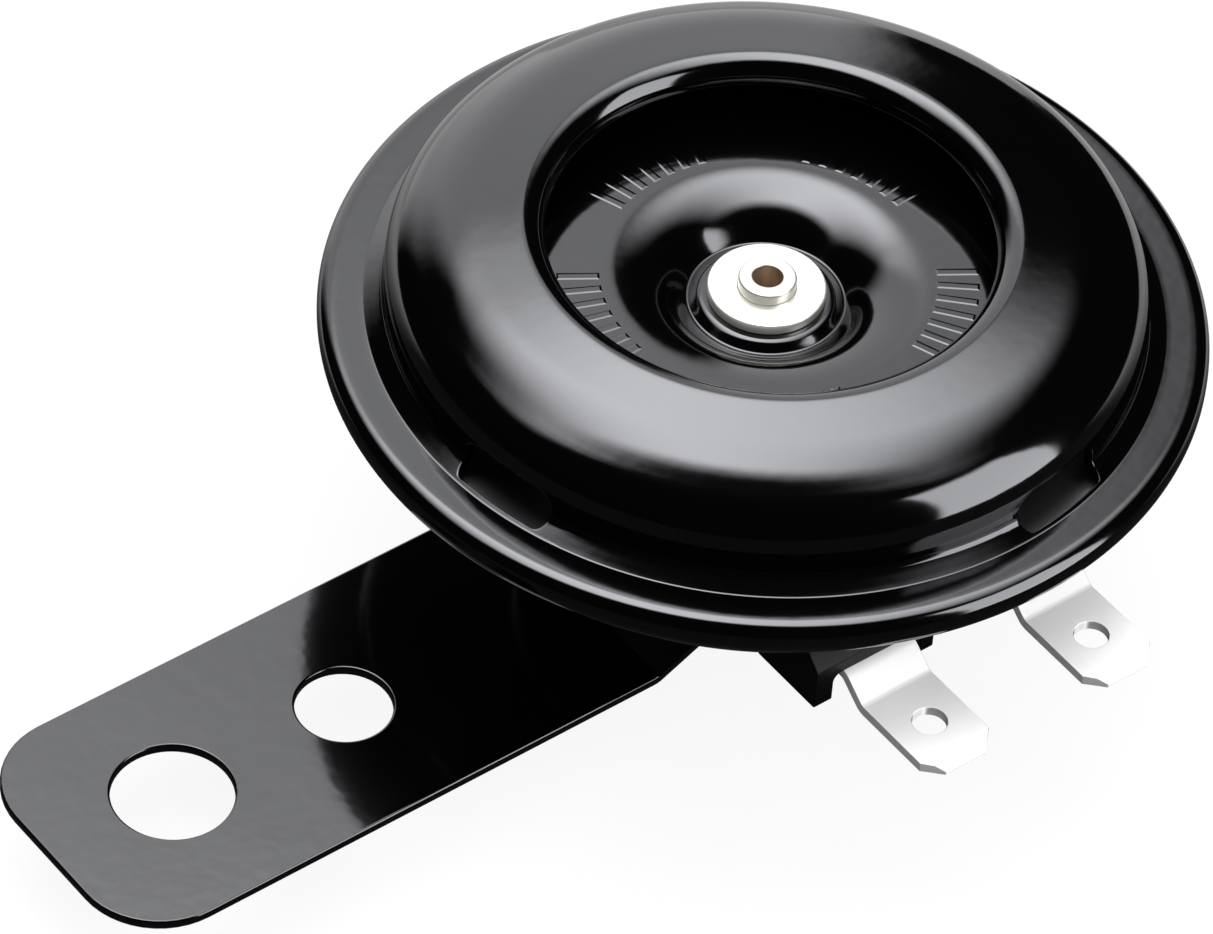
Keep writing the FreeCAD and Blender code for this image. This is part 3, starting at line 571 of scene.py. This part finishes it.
finishes = {
    "black_paint": lacquerMaterial("pressedLacquer", 0.6, 2.0, 0.08),
    "disc_paint": lacquerMaterial("discLacquer", 0.5, 1.5, 0.08, marks=0.035),
    "bracket_paint": lacquerMaterial("strapLacquer", 0.7, 4.0, 0.09),
    "bright_zinc": metalMaterial("brightZinc", (0.96, 0.95, 0.90), (0.90, 0.88, 0.78), height=0.3, gloss=0.3,
                                 metallic=0.8),
    "tin_plate": metalMaterial("tinPlate", (0.94, 0.94, 0.94), (0.90, 0.90, 0.90), (0.08, 1.0, 1.0), 0.4, 0.3,
                               metallic=0.0),
    "black_moulding": mouldedMaterial("blackMoulding", (0.0008, 0.0008, 0.0009), (0.0015, 0.0015, 0.0016),
                                      1.0, 0.38, ior=1.25),
    "spring_steel": metalMaterial("springSteel", (0.52, 0.52, 0.53), (0.40, 0.40, 0.42), gloss=0.3),
    "gasket_paper": mouldedMaterial("gasketPaper", (0.13, 0.11, 0.08), (0.08, 0.07, 0.05), 2.0, 0.8),
    "bobbin_plastic": mouldedMaterial("bobbinNylon", (0.55, 0.52, 0.44), (0.48, 0.45, 0.38), 0.6, 0.4),
    "copper_wire": metalMaterial("enamelledCopper", (0.56, 0.22, 0.08), (0.42, 0.14, 0.05), (0.1, 0.1, 1.0),
                                 4.0, 0.3),
    "phenolic": mouldedMaterial("phenolicSheet", (0.20, 0.09, 0.04), (0.13, 0.06, 0.03), 1.0, 0.5),
    "contact_brass": metalMaterial("contactBrass", (0.72, 0.52, 0.22), (0.58, 0.40, 0.16), gloss=0.3),
    "contact_silver": metalMaterial("contactSilver", (0.80, 0.79, 0.76), (0.66, 0.65, 0.62), gloss=0.3),
    "rivet_steel": metalMaterial("rivetSteel", (0.58, 0.58, 0.57), (0.44, 0.44, 0.43), gloss=0.32),
}
# the tabs' sides get a darker colour, partly bare cut steel and partly painted shade
finishes["tin_plate"] = cutSidesAndPaintedShade(finishes["tin_plate"], (0.22, 0.22, 0.23))
studMetal = metalMaterial("hollowStud", (0.74, 0.74, 0.73), (0.62, 0.61, 0.56), height=0.3, gloss=0.3,
                          metallic=0.8)
finishes["hollow_stud"] = stainBore(studMetal, 1.14, (0.46, 0.36, 0.27))
print("finishes made:", len(finishes))


# Front cover: rolled rim, valley, dome with four slots and the lip of the sound hole

coverSizes = {"outline": [(29.4, -1.475), (32.5, -1.475), (32.5, 1.475), (29.2, 1.475), (27.8, 2.3),
                          (27.8, 6.5), (23.2, 9.15), (16.36, 10.2), (16.36, 8.1)],
              "bends": [1.475, 1.2, 0.3, 0.6, 4.2, 9.0, 1.7], "gauge": 0.7, "columns": 240,
              "slotAngle": -79.6, "slots": 4, "slotWidth": 8.3, "slotLow": 1.625, "slotHigh": 4.575,
              "slotCorner": 1.6, "slotFoot": 0.8, "slotRadius": 28.06, "slotRings": [0, 0.1, 0.25, 0.45, 0.7],
              "frameColumns": 8, "frameLow": 1.49, "frameHigh": 5.6, "creaseRadius": 29.6, "edge": 0.1,
              "step": 0.45}


def slotSides(c, bottomCount, sideCount):
    # Slot outline as four runs (bottom, right, top, left), each with evenly spaced points, in x and height.
    half, low, high, corner = c["slotWidth"] / 2, c["slotLow"], c["slotHigh"], c["slotCorner"]
    foot = c["slotFoot"]
    bend = np.linspace(0, math.pi / 2, 17)
    lowArc = np.stack([half - foot + foot * np.sin(bend), low + foot - foot * np.cos(bend)], 1)
    highArc = np.stack([half - corner + corner * np.cos(bend), high - corner + corner * np.sin(bend)], 1)
    right = np.r_[lowArc, highArc]
    middle = len(bend) + len(bend) // 2
    rightRun, halfTop = right[:middle + 1], right[middle:]
    topRun = np.r_[halfTop, halfTop[::-1] * [-1, 1]]
    leftRun = rightRun[::-1] * [-1, 1]
    bottomRun = np.array([(foot - half, low), (half - foot, low)])
    runs = []
    sides = ((bottomRun, bottomCount), (rightRun, sideCount), (topRun, bottomCount), (leftRun, sideCount))
    for run, count in sides:
        length = runAlong(run)
        at = np.linspace(0, length[-1], count + 1)[:-1]
        runs.append(np.stack([np.interp(at, length, run[:, k]) for k in (0, 1)], 1))
    return np.concatenate(runs)


def frontCover():
    # The path is turned round the axis. Round each slot a frame of the grid is left out, and rings of points
    # lead from that frame to the slot's outline.
    c = coverSizes
    path = roundedPath(c["outline"], c["bends"], c["step"])
    rows, columns = len(path), c["columns"]
    run = runAlong(path)
    angles = math.radians(c["slotAngle"]) + np.linspace(0, 2 * math.pi, columns, endpoint=False)
    points = [spinPoints(path[:, :1], path[:, 1:], angles[None, :])]
    faces = gridFaces(rows, columns)
    row, column = faces[:, 0] // columns, faces[:, 0] % columns
    crease = int(np.argmax((path[:, 0] < c["creaseRadius"]) & (path[:, 1] > 0)))
    low = crease + int(np.argmax(path[crease:, 1] > c["frameLow"]))
    high = crease + int(np.argmax(path[crease:, 1] > c["frameHigh"]))
    wide = c["frameColumns"]
    keep = np.ones(len(faces), bool)
    slotRuns = []
    reach = np.arange(-wide, wide + 1)
    tall = np.arange(low, high + 1)
    loopRows = np.r_[np.full(2 * wide, low), tall[:-1], np.full(2 * wide, high), tall[::-1][:-1]]
    loopColumns = np.r_[reach[:-1], np.full(high - low, wide), reach[::-1][:-1], np.full(high - low, -wide)]
    outline = slotSides(c, 2 * wide, high - low)
    wall = slice(crease, high + 1)
    innerRun = np.interp(outline[:, 1], path[wall, 1], run[wall])
    innerAngle = outline[:, 0] / c["slotRadius"]
    outerAngle = loopColumns * 2 * math.pi / columns
    rings = np.array(c["slotRings"])
    alongRun = innerRun + (run[loopRows] - innerRun) * rings[:, None]
    alongAngle = innerAngle + (outerAngle - innerAngle) * rings[:, None]
    radius = np.interp(alongRun, run, path[:, 0])
    height = np.interp(alongRun, run, path[:, 1])
    count = len(loopRows)
    made = rows * columns
    for k in range(c["slots"]):
        centre = k * columns // c["slots"]
        inside = (row >= low) & (row < high) & (((column - centre + wide) % columns) < 2 * wide)
        keep &= ~inside
        points.append(spinPoints(radius, height, alongAngle + angles[centre]))
        gridLoop = loopRows * columns + (loopColumns + centre) % columns
        index = np.r_[made + np.arange(len(rings) * count), gridLoop].reshape(len(rings) + 1, count)
        nextIndex = np.roll(index, -1, axis=1)
        quads = np.stack([index[:-1], nextIndex[:-1], nextIndex[1:], index[1:]], -1).reshape(-1, 4)
        slotRuns.append(quads[:, ::-1])
        made += len(rings) * count
    faces = np.concatenate([faces[keep]] + slotRuns)
    obj = newMesh("coverShell", np.concatenate(points), faces)
    addThickness(obj, c["gauge"], c["edge"])
    applyModifiers(obj)
    return shade(obj)


place(frontCover(), "housing", ["front_cover"], finishes["black_paint"])
print("front cover made")


# Tone disc, its washer and the hollow peened end of the armature

discSizes = {"outline": [(21.0, 4.65), (9.0, 4.65), (5.75, 2.05), (4.9, 2.7), (2.1, 2.7)],
             "bends": [7.4, 0.25, 0.8], "gauge": 0.8, "columns": 216, "edge": 0.12, "step": 0.4}
washerSizes = {"inner": 2.1, "outer": 4.33, "low": 2.7, "high": 3.57, "edge": 0.14, "columns": 128,
               "step": 0.3}
armatureSizes = {"foot": -9.1, "body": 4.65, "collar": 6.6, "collarLow": -3.75, "collarHigh": -2.75,
                 "shoulder": -0.05, "stud": 2.05, "seat": 3.57, "head": 2.15, "top": 4.45, "bore": 1.12,
                 "boreFoot": 2.25, "columns": 96, "step": 0.4,
                 "bends": [0.2, 0.1, 0.1, 0.1, 0.1, 0.2, 0.05, 0.02, 0.02, 0.18, 0.1, 0.15]}


def toneDisc():
    c = discSizes
    # dished plate: its upper face is a path of radius and height turned round the axis
    obj = spinSkin("tonePlate", roundedPath(c["outline"], c["bends"], c["step"]), c["columns"])
    addThickness(obj, c["gauge"], c["edge"])
    applyModifiers(obj)
    return shade(obj)


def frontWasher():
    c = washerSizes
    inner, outer, low, high = c["inner"], c["outer"], c["low"], c["high"]
    outline = [(inner, low), (outer, low), (outer, high), (inner, high)]
    # flat ring: a rounded section of radius and height turned round the axis
    obj = spinSkin("washerRing", ringOutline(outline, c["edge"], c["step"]), c["columns"], closed=True)
    return shade(cleanMesh(obj), 35)


def ringOutline(corners, edge, step):
    # Closed outline of a ring section with every corner rounded.
    pts = np.asarray(corners, float)
    middle = (pts[0] + pts[-1]) / 2
    loop = [middle] + [tuple(p) for p in pts] + [middle]
    return roundedPath(loop, [edge] * len(pts), step)[:-1]


def armatureSlug():
    # Slug, collar, stud and the hollow end, as one closed outline from the axis back to the axis.
    c = armatureSizes
    body, collar, stud, head, bore = c["body"], c["collar"], c["stud"], c["head"], c["bore"]
    outline = [(0.0, c["foot"]), (body, c["foot"]), (body, c["collarLow"]), (collar, c["collarLow"]),
               (collar, c["collarHigh"]), (body, c["collarHigh"]), (body, c["shoulder"]),
               (stud, c["shoulder"]), (stud, c["seat"]), (head, c["seat"]), (head, c["top"]),
               (bore, c["top"]), (bore, c["boreFoot"]), (0.0, c["boreFoot"])]
    obj = spinSkin("armatureStud", roundedPath(outline, c["bends"], c["step"]), c["columns"])
    return shade(cleanMesh(obj))


place(toneDisc(), "armature", ["tone_disc"], finishes["disc_paint"])
place(frontWasher(), "armature", ["front_washer"], finishes["bright_zinc"])
place(armatureSlug(), "armature", ["armature"], finishes["hollow_stud"])
print("tone disc, washer and armature made")


# Rear housing with its shelf holes

housingSizes = {"outline": [(3.1, -16.0), (16.5, -16.0), (16.5, -6.0), (28.3, -6.0), (28.3, -0.775),
                            (30.5, -0.775)],
                "bends": [1.5, 0.6, 1.4, 0.5], "gauge": 0.9, "columns": 216, "cutLow": -7.5, "cutHigh": -4.0,
                "edge": 0.08,
                "holes": [(23.8, -2.6, 1.0), (23.8, 2.6, 1.0), (-7.5, -21.2, 2.6), (7.5, -21.2, 2.6),
                          (19.5, 0.0, 2.05)]}


def rearHousing():
    c = housingSizes
    # drawn cup: its skin is a path turned round the axis, and its shelf holes are punched afterwards
    obj = spinSkin("rearShell", roundedPath(c["outline"], c["bends"]), c["columns"])
    addThickness(obj, c["gauge"])
    applyModifiers(obj)
    cutters = [spinCutter(x, y, radius, c["cutLow"], c["cutHigh"]) for x, y, radius in c["holes"]]
    for cutter in cutters:
        cut = obj.modifiers.new("hole", "BOOLEAN")
        cut.operation = "DIFFERENCE"
        cut.solver = "EXACT"
        cut.object = cutter
    applyModifiers(obj)
    for cutter in cutters:
        bpy.data.objects.remove(cutter)
    roundEdges(obj, c["edge"], 2, 50)
    applyModifiers(obj)
    return shade(obj)


def spinCutter(x, y, radius, low, high):
    # Plain closed cylinder beside the horn's axis, used only to punch a hole.
    middle = Matrix.Translation(((x + axisX) * mm, y * mm, ((high + low) / 2 + rimZ) * mm))
    bm = bmesh.new()
    bmesh.ops.create_cone(bm, cap_ends=True, segments=64, radius1=radius * mm, radius2=radius * mm,
                          depth=(high - low) * mm, matrix=middle)
    mesh = bpy.data.meshes.new("punch")
    bm.to_mesh(mesh)
    bm.free()
    obj = bpy.data.objects.new("punch", mesh)
    scene.collection.objects.link(obj)
    return obj


place(rearHousing(), "housing", ["rear_housing"], finishes["black_paint"])
print("rear housing made")


# Bracket strap with its set-off

strapSizes = {"width": 21.4, "end": 62.6, "corner": 6.3, "gauge": 0.8, "top": -16.0, "drop": 2.7,
              "slopeStart": 16.5, "slopeEnd": 10.9, "bend": 1.2, "edge": 0.16, "pathStart": -70.0,
              "pathEnd": 20.0, "sliceFrom": -19.0, "sliceTo": -8.0, "evenSlices": (-60, -18, 3),
              "holes": [(-52.0, 4.5), (-36.9, 3.6), (0.0, 3.1)]}


def bracketStrap():
    # Blank cut to its outline, sliced where it bends, then laid along the set-off path.
    c = strapSizes
    half, end, r = c["width"] / 2, -c["end"], c["corner"]
    quarter = np.linspace(0, math.pi / 2, 13)[:, None]
    upper = np.c_[end + r - r * np.sin(quarter), half - r + r * np.cos(quarter)]
    lower = np.c_[end + r - r * np.cos(quarter), -half + r - r * np.sin(quarter)]
    nose = np.linspace(-math.pi / 2, math.pi / 2, 49)[:, None]
    outline = np.r_[upper, lower, np.c_[half * np.cos(nose), half * np.sin(nose)]]
    start, low = c["pathStart"], c["top"] - c["drop"]
    sideView = [(start, low), (-c["slopeStart"], low), (-c["slopeEnd"], c["top"]), (c["pathEnd"], c["top"])]
    path = roundedPath(sideView, [c["bend"], c["bend"] + c["gauge"]], 1.0)
    run = runAlong(path)
    developed = lambda x: np.interp(x, path[:, 0], run) + start
    outline[:, 0] = developed(outline[:, 0])
    holes = [circlePoints(float(developed(x)), 0, radius, 72) for x, radius in c["holes"]]
    obj = plateBlank("bracketStrap", outline, holes, c["gauge"], c["edge"])
    places = run[(path[:, 0] > c["sliceFrom"]) & (path[:, 0] < c["sliceTo"])] + start
    sliceAlong(obj, 0, list(places) + list(range(*c["evenSlices"])))
    shadePlate(obj)
    shiftAlong(obj, 0, -start)
    bendAlong(obj, 0, path, 1.0)
    return obj


def shiftAlong(obj, axis, amount):
    move = [0.0, 0.0, 0.0]
    move[axis] = amount * mm
    obj.data.transform(Matrix.Translation(move))


place(bracketStrap(), "housing", ["mounting_bracket"], finishes["bracket_paint"])
print("bracket made")


# Spade tabs

tabSizes = {"width": 6.3, "gauge": 0.8, "tail": 18.8, "bendReach": 24.3, "bladeStart": 26.4, "tip": 34.4,
            "top": -9.6, "drop": 1.7, "bend": 0.7, "hole": 30.2, "holeRadius": 1.3, "rivet": 21.2,
            "rivetRadius": 1.6, "chamfer": 1.35, "bevel": 0.6, "tipThinning": 0.55, "edge": 0.07,
            "sliceBefore": 2.2, "sliceAfter": 1.5}


def spadeTab(name, x):
    # Blank in plan, stepped down along its path; the tip is thinned from above.
    c = tabSizes
    high, low = c["top"], c["top"] - c["drop"]
    sideView = [(-c["tail"], high), (-c["bendReach"], high), (-c["bladeStart"], low), (-c["tip"], low)]
    path = roundedPath(sideView, [c["bend"] + c["gauge"], c["bend"]], 0.4)
    run = runAlong(path)
    developed = lambda reach: float(np.interp(reach, -path[:, 0], run))
    half, cut, end = c["width"] / 2, c["chamfer"], run[-1]
    outline = np.array([(x - half, 0), (x + half, 0), (x + half, end - cut), (x + half - cut, end),
                        (x - half + cut, end), (x - half, end - cut)])
    holes = [circlePoints(x, developed(c["hole"]), c["holeRadius"], 48),
             circlePoints(x, developed(c["rivet"]), c["rivetRadius"], 48)]
    obj = plateBlank(name, outline, holes, c["gauge"], c["edge"])
    bendPlaces = run[(path[:, 0] < -c["bendReach"] + c["sliceBefore"])
                     & (path[:, 0] > -c["bladeStart"] - c["sliceAfter"])]
    sliceAlong(obj, 1, list(bendPlaces) + [end - c["bevel"], end - c["bevel"] / 2])
    shadePlate(obj)
    co = readPoints(obj)
    past = np.clip((co[:, 1] - (end - c["bevel"])) / c["bevel"], 0, 1)
    co[:, 2] = -c["gauge"] + (co[:, 2] + c["gauge"]) * (1 - c["tipThinning"] * past)
    writePoints(obj, co)
    bendAlong(obj, 1, path, -1.0)
    turnOutwards(obj)
    return obj


place(spadeTab("tabLeft", -7.5), "housing", ["terminal_left"], finishes["tin_plate"])
place(spadeTab("tabRight", 7.5), "housing", ["terminal_right"], finishes["tin_plate"])
print("tabs made")


# Pole core with its threaded stud

coreSizes = {"core": 5.0, "top": -9.6, "foot": -15.1, "stud": 3.0, "end": -26.2, "chamfer": 0.6, "pitch": 1.0,
             "threadDepth": 0.55, "threadTop": -17.2, "threadFade": 0.5, "columns": 64, "step": 0.08,
             "bends": [0.3, 0.1, 0.1, 0.05, 0.05]}


def poleCore():
    # Turned outline; below the washer its radius dips by a triangle wave that climbs one pitch per turn.
    c = coreSizes
    outline = [(0.0, c["top"]), (c["core"], c["top"]), (c["core"], c["foot"]), (c["stud"], c["foot"]),
               (c["stud"], c["end"] + c["chamfer"]), (c["stud"] - c["chamfer"], c["end"]), (0.0, c["end"])]
    path = roundedPath(outline, c["bends"], c["step"])[::-1]
    columns = c["columns"]
    angles = np.linspace(0, 2 * math.pi, columns, endpoint=False)[None, :]
    climb = (path[:, 1:] / c["pitch"] - angles / (2 * math.pi)) % 1.0
    wave = np.abs(2 * climb - 1)
    fade = np.clip((c["threadTop"] - path[:, 1:]) / c["threadFade"], 0, 1) * (path[:, :1] > c["stud"] - 0.02)
    radii = path[:, :1] - c["threadDepth"] * wave * fade
    obj = newMesh("poleStud", spinPoints(radii, path[:, 1:], angles), gridFaces(len(path), columns))
    return shade(cleanMesh(obj), 50)


place(poleCore(), "housing", ["pole_core"], finishes["bright_zinc"])


# Diaphragm: bends between the clamped rim and the armature

membraneSizes = {"outline": [(30.5, 0.575), (24.0, 0.575), (8.0, 1.0), (2.1, 1.0)], "bends": [6.0, 6.0],
                 "gauge": 0.25, "columns": 144, "fixedZ": 0.58, "freeZ": 0.75}


def membrane():
    c = membraneSizes
    # thin sheet: a path that rises from the clamped rim to the armature, turned round the axis
    obj = spinSkin("membrane", roundedPath(c["outline"], c["bends"]), c["columns"])
    addThickness(obj, c["gauge"])
    applyModifiers(obj)
    return shade(obj)


membraneObj = place(membrane(), None, ["diaphragm"], finishes["spring_steel"])
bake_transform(membraneObj)


# Moulded block, fixings and small turned pieces: copies of their solids with broken edges

smallPieces = [("terminalHood", "terminal_block", "housing", "black_moulding", 0.28, 3),
               ("nutHex", "mounting_nut", "housing", "bright_zinc", 0.0, 2),
               ("washerFlat", "bracket_washer", "housing", "bright_zinc", 0.12, 2),
               ("washerSplit", "lock_washer", "housing", "bright_zinc", 0.12, 2),
               ("rivetsTerminal", "terminal_rivets", "housing", "tin_plate", 0.0, 2),
               ("rivetsBreaker", "breaker_rivets", "housing", "rivet_steel", 0.0, 2),
               ("bushScrew", "screw_bush", "housing", "contact_brass", 0.12, 2),
               ("screwTuning", "tuning_screw", "tuning_screw", "contact_brass", 0.0, 2)]
for name, node, body, slotName, width, segments in smallPieces:
    place(smoothCopy(name, node, width, segments), body, [node], finishes[slotName])

# every CAD node gets its slot's finish, for the ones that no piece replaces
for entry in frame["record"]["subparts"]:
    cadNode = frame["nodes"][entry["node"]]
    finish = finishes[entry["material_slot"]]
    cadNode.data.materials.clear()
    cadNode.data.materials.append(finish)
print("small pieces made")


# Floor, light and camera

def softBoxGroup():
    # Share of a soft box seen in one direction: 1 inside, fading to 0 over its edges.
    group, given, result = newGroup("softBox", [
        ("Direction", (0.0, 0.0, 1.0)), ("Towards", (0.0, 0.0, 1.0)), ("Side", (1.0, 0.0, 0.0)),
        ("Up", (0.0, 1.0, 0.0)), ("Side Low", -1.0), ("Side High", 1.0), ("Up Low", -1.0), ("Up High", 1.0),
        ("Side Low Fade", 0.1), ("Side High Fade", 0.1), ("Up Low Fade", 0.1), ("Up High Fade", 0.1)],
        [("Share", "NodeSocketFloat")])
    ahead = vectorNode(group, "DOT_PRODUCT", given.outputs["Direction"], given.outputs["Towards"], 1)
    safe = mathNode(group, "MAXIMUM", ahead, 0.001)
    side = mathNode(group, "DIVIDE", vectorNode(group, "DOT_PRODUCT", given.outputs["Direction"],
                                                given.outputs["Side"], 1), safe)
    up = mathNode(group, "DIVIDE", vectorNode(group, "DOT_PRODUCT", given.outputs["Direction"],
                                              given.outputs["Up"], 1), safe)
    share = mathNode(group, "GREATER_THAN", ahead, 0.01)
    for value, low, high in ((side, "Side Low", "Side High"), (up, "Up Low", "Up High")):
        after = smoothStep(group, mathNode(group, "SUBTRACT", value, given.outputs[low]), 0.0,
                           given.outputs[low + " Fade"])
        before = smoothStep(group, mathNode(group, "SUBTRACT", given.outputs[high], value), 0.0,
                            given.outputs[high + " Fade"])
        share = mathNode(group, "MULTIPLY", share, mathNode(group, "MULTIPLY", after, before))
    group.links.new(share, result.inputs["Share"])
    return group


groups["softBox"] = softBoxGroup()


def flat(azimuth):
    return (math.cos(math.radians(azimuth)), math.sin(math.radians(azimuth)), 0.0)


# overhead box leans away from the camera; the tall one stands at the camera's right; the far wall is dim
lightBoxes = {
    "overhead": dict(Towards=(0.0, 0.0, 1.0), Side=flat(-41.0), Up=flat(49.0), Side_Low=-1.05, Side_High=0.8,
                     Up_Low=-0.25, Up_High=1.105, Side_Low_Fade=0.95, Side_High_Fade=0.95, Up_Low_Fade=0.25,
                     Up_High_Fade=0.6),
    "tall": dict(Towards=flat(-62.0), Side=flat(-152.0), Up=(0.0, 0.0, 1.0), Side_Low=-0.35, Side_High=0.35,
                 Up_Low=-0.3, Up_High=1.25, Side_Low_Fade=0.06, Side_High_Fade=0.06, Up_Low_Fade=0.06,
                 Up_High_Fade=0.25),
    "farWall": dict(Towards=flat(70.0), Side=flat(-20.0), Up=(0.0, 0.0, 1.0), Side_Low=-0.6, Side_High=0.55,
                    Up_Low=-0.3, Up_High=1.2, Side_Low_Fade=0.35, Side_High_Fade=0.12, Up_Low_Fade=0.15,
                    Up_High_Fade=0.2),
}
lightLevels = {"overhead": 8.2, "tall": 5.7, "farWall": 1.64, "room": 0.007}


def studioWorld():
    world = bpy.data.worlds.new("studio")
    scene.world = world
    world.use_nodes = True
    tree = world.node_tree
    tree.nodes.clear()
    direction = tree.nodes.new("ShaderNodeTexCoord").outputs["Generated"]
    total = None
    for name, box in lightBoxes.items():
        node = addGroup(tree, "softBox", **box)
        tree.links.new(direction, node.inputs["Direction"])
        lit = mathNode(tree, "MULTIPLY", node.outputs["Share"], lightLevels[name])
        total = lit if total is None else mathNode(tree, "ADD", total, lit)
    total = mathNode(tree, "ADD", total, lightLevels["room"])
    path = tree.nodes.new("ShaderNodeLightPath")
    seen = mathNode(tree, "MAXIMUM", path.outputs["Is Camera Ray"], path.outputs["Is Transmission Ray"])
    light = tree.nodes.new("ShaderNodeBackground")
    backdrop = tree.nodes.new("ShaderNodeBackground")
    tree.links.new(total, light.inputs["Strength"])
    backdrop.inputs["Strength"].default_value = 1.0
    backdrop.inputs["Color"].default_value = (1, 1, 1, 1)
    mix = tree.nodes.new("ShaderNodeMixShader")
    tree.links.new(seen, mix.inputs["Fac"])
    tree.links.new(light.outputs[0], mix.inputs[1])
    tree.links.new(backdrop.outputs[0], mix.inputs[2])
    out = tree.nodes.new("ShaderNodeOutputWorld")
    tree.links.new(mix.outputs[0], out.inputs["Surface"])


fillSizes = {"towards": (-0.35, -0.45, 0.82), "energy": 2.2, "spread": 70.0}


def fillLight():
    # soft fill for the pale pieces only; the gloss of the black paint doesn't show it
    c = fillSizes
    data = bpy.data.lights.new("fill", "SUN")
    data.energy = c["energy"]
    data.angle = math.radians(c["spread"])
    lamp = bpy.data.objects.new("fill", data)
    scene.collection.objects.link(lamp)
    lamp.rotation_euler = Vector(c["towards"]).to_track_quat("Z", "Y").to_euler()
    lamp.visible_glossy = False


floorSizes = {"radius": 300.0, "height": -26.25, "rings": 5, "columns": 64, "whiteShare": 0.9,
              "nearMirror": 0.03, "farMirror": 0.75, "mirrorFrom": 10.0, "mirrorTo": 90.0,
              "awayFromCamera": 49.0}


def studioFloor():
    # white sweep under the object: white to the eye, and still darkened a little by its shadow
    c = floorSizes
    rings = np.linspace(0, c["radius"], c["rings"])
    obj = spinSkin("floor", np.stack([rings, np.full(c["rings"], c["height"])], 1), c["columns"])
    cleanMesh(obj)
    if obj.data.polygons[0].normal.z < 0:
        obj.data.flip_normals()
    material = bpy.data.materials.new("whiteSweep")
    material.use_nodes = True
    tree = material.node_tree
    tree.nodes.clear()
    path = tree.nodes.new("ShaderNodeLightPath")
    seen = mathNode(tree, "MAXIMUM", path.outputs["Is Camera Ray"], path.outputs["Is Transmission Ray"])
    glossy = path.outputs["Is Glossy Ray"]
    share = mathNode(tree, "MAXIMUM", mathNode(tree, "MULTIPLY", seen, c["whiteShare"]), glossy)
    # in reflections the sweep is white only beyond the horn, as seen from the camera
    where = tree.nodes.new("ShaderNodeNewGeometry").outputs["Position"]
    fromAxis = vectorNode(tree, "SUBTRACT", where, (axisX * mm, 0.0, 0.0))
    beyond = vectorNode(tree, "DOT_PRODUCT", fromAxis, flat(c["awayFromCamera"]), 1)
    rise = smoothStep(tree, beyond, c["mirrorFrom"] * mm, c["mirrorTo"] * mm)
    mirrored = mathNode(tree, "ADD", mathNode(tree, "MULTIPLY", rise, c["farMirror"]), c["nearMirror"])
    strength = mathNode(tree, "MAXIMUM", seen, mathNode(tree, "MULTIPLY", glossy, mirrored))
    paper = tree.nodes.new("ShaderNodeBsdfDiffuse")
    paper.inputs["Color"].default_value = (0.8, 0.8, 0.8, 1)
    white = tree.nodes.new("ShaderNodeEmission")
    tree.links.new(strength, white.inputs["Strength"])
    mix = tree.nodes.new("ShaderNodeMixShader")
    tree.links.new(share, mix.inputs["Fac"])
    tree.links.new(paper.outputs[0], mix.inputs[1])
    tree.links.new(white.outputs[0], mix.inputs[2])
    out = tree.nodes.new("ShaderNodeOutputMaterial")
    tree.links.new(mix.outputs[0], out.inputs["Surface"])
    obj.data.materials.append(material)


cameraSizes = {"place": (-227.954, -312.51, 430.65), "right": (0.795696, -0.603141, 0.05558),
               "up": (0.40099, 0.593327, 0.697976), "back": (-0.453955, -0.533089, 0.713961), "lens": 239.68}


def photoCamera():
    c = cameraSizes
    data = bpy.data.cameras.new("photoCamera")
    data.lens = c["lens"]
    data.sensor_width = 36.0
    data.sensor_fit = "HORIZONTAL"
    data.clip_start = 0.01
    data.clip_end = 20.0
    camera = bpy.data.objects.new("photoCamera", data)
    scene.collection.objects.link(camera)
    turn = Matrix([c["right"], c["up"], c["back"]]).transposed()
    camera.matrix_world = Matrix.Translation(Vector(c["place"]) * mm) @ turn.to_4x4()
    scene.camera = camera


studioWorld()
fillLight()
studioFloor()
photoCamera()
scene.view_settings.view_transform = "Standard"
print("floor, light and camera made")
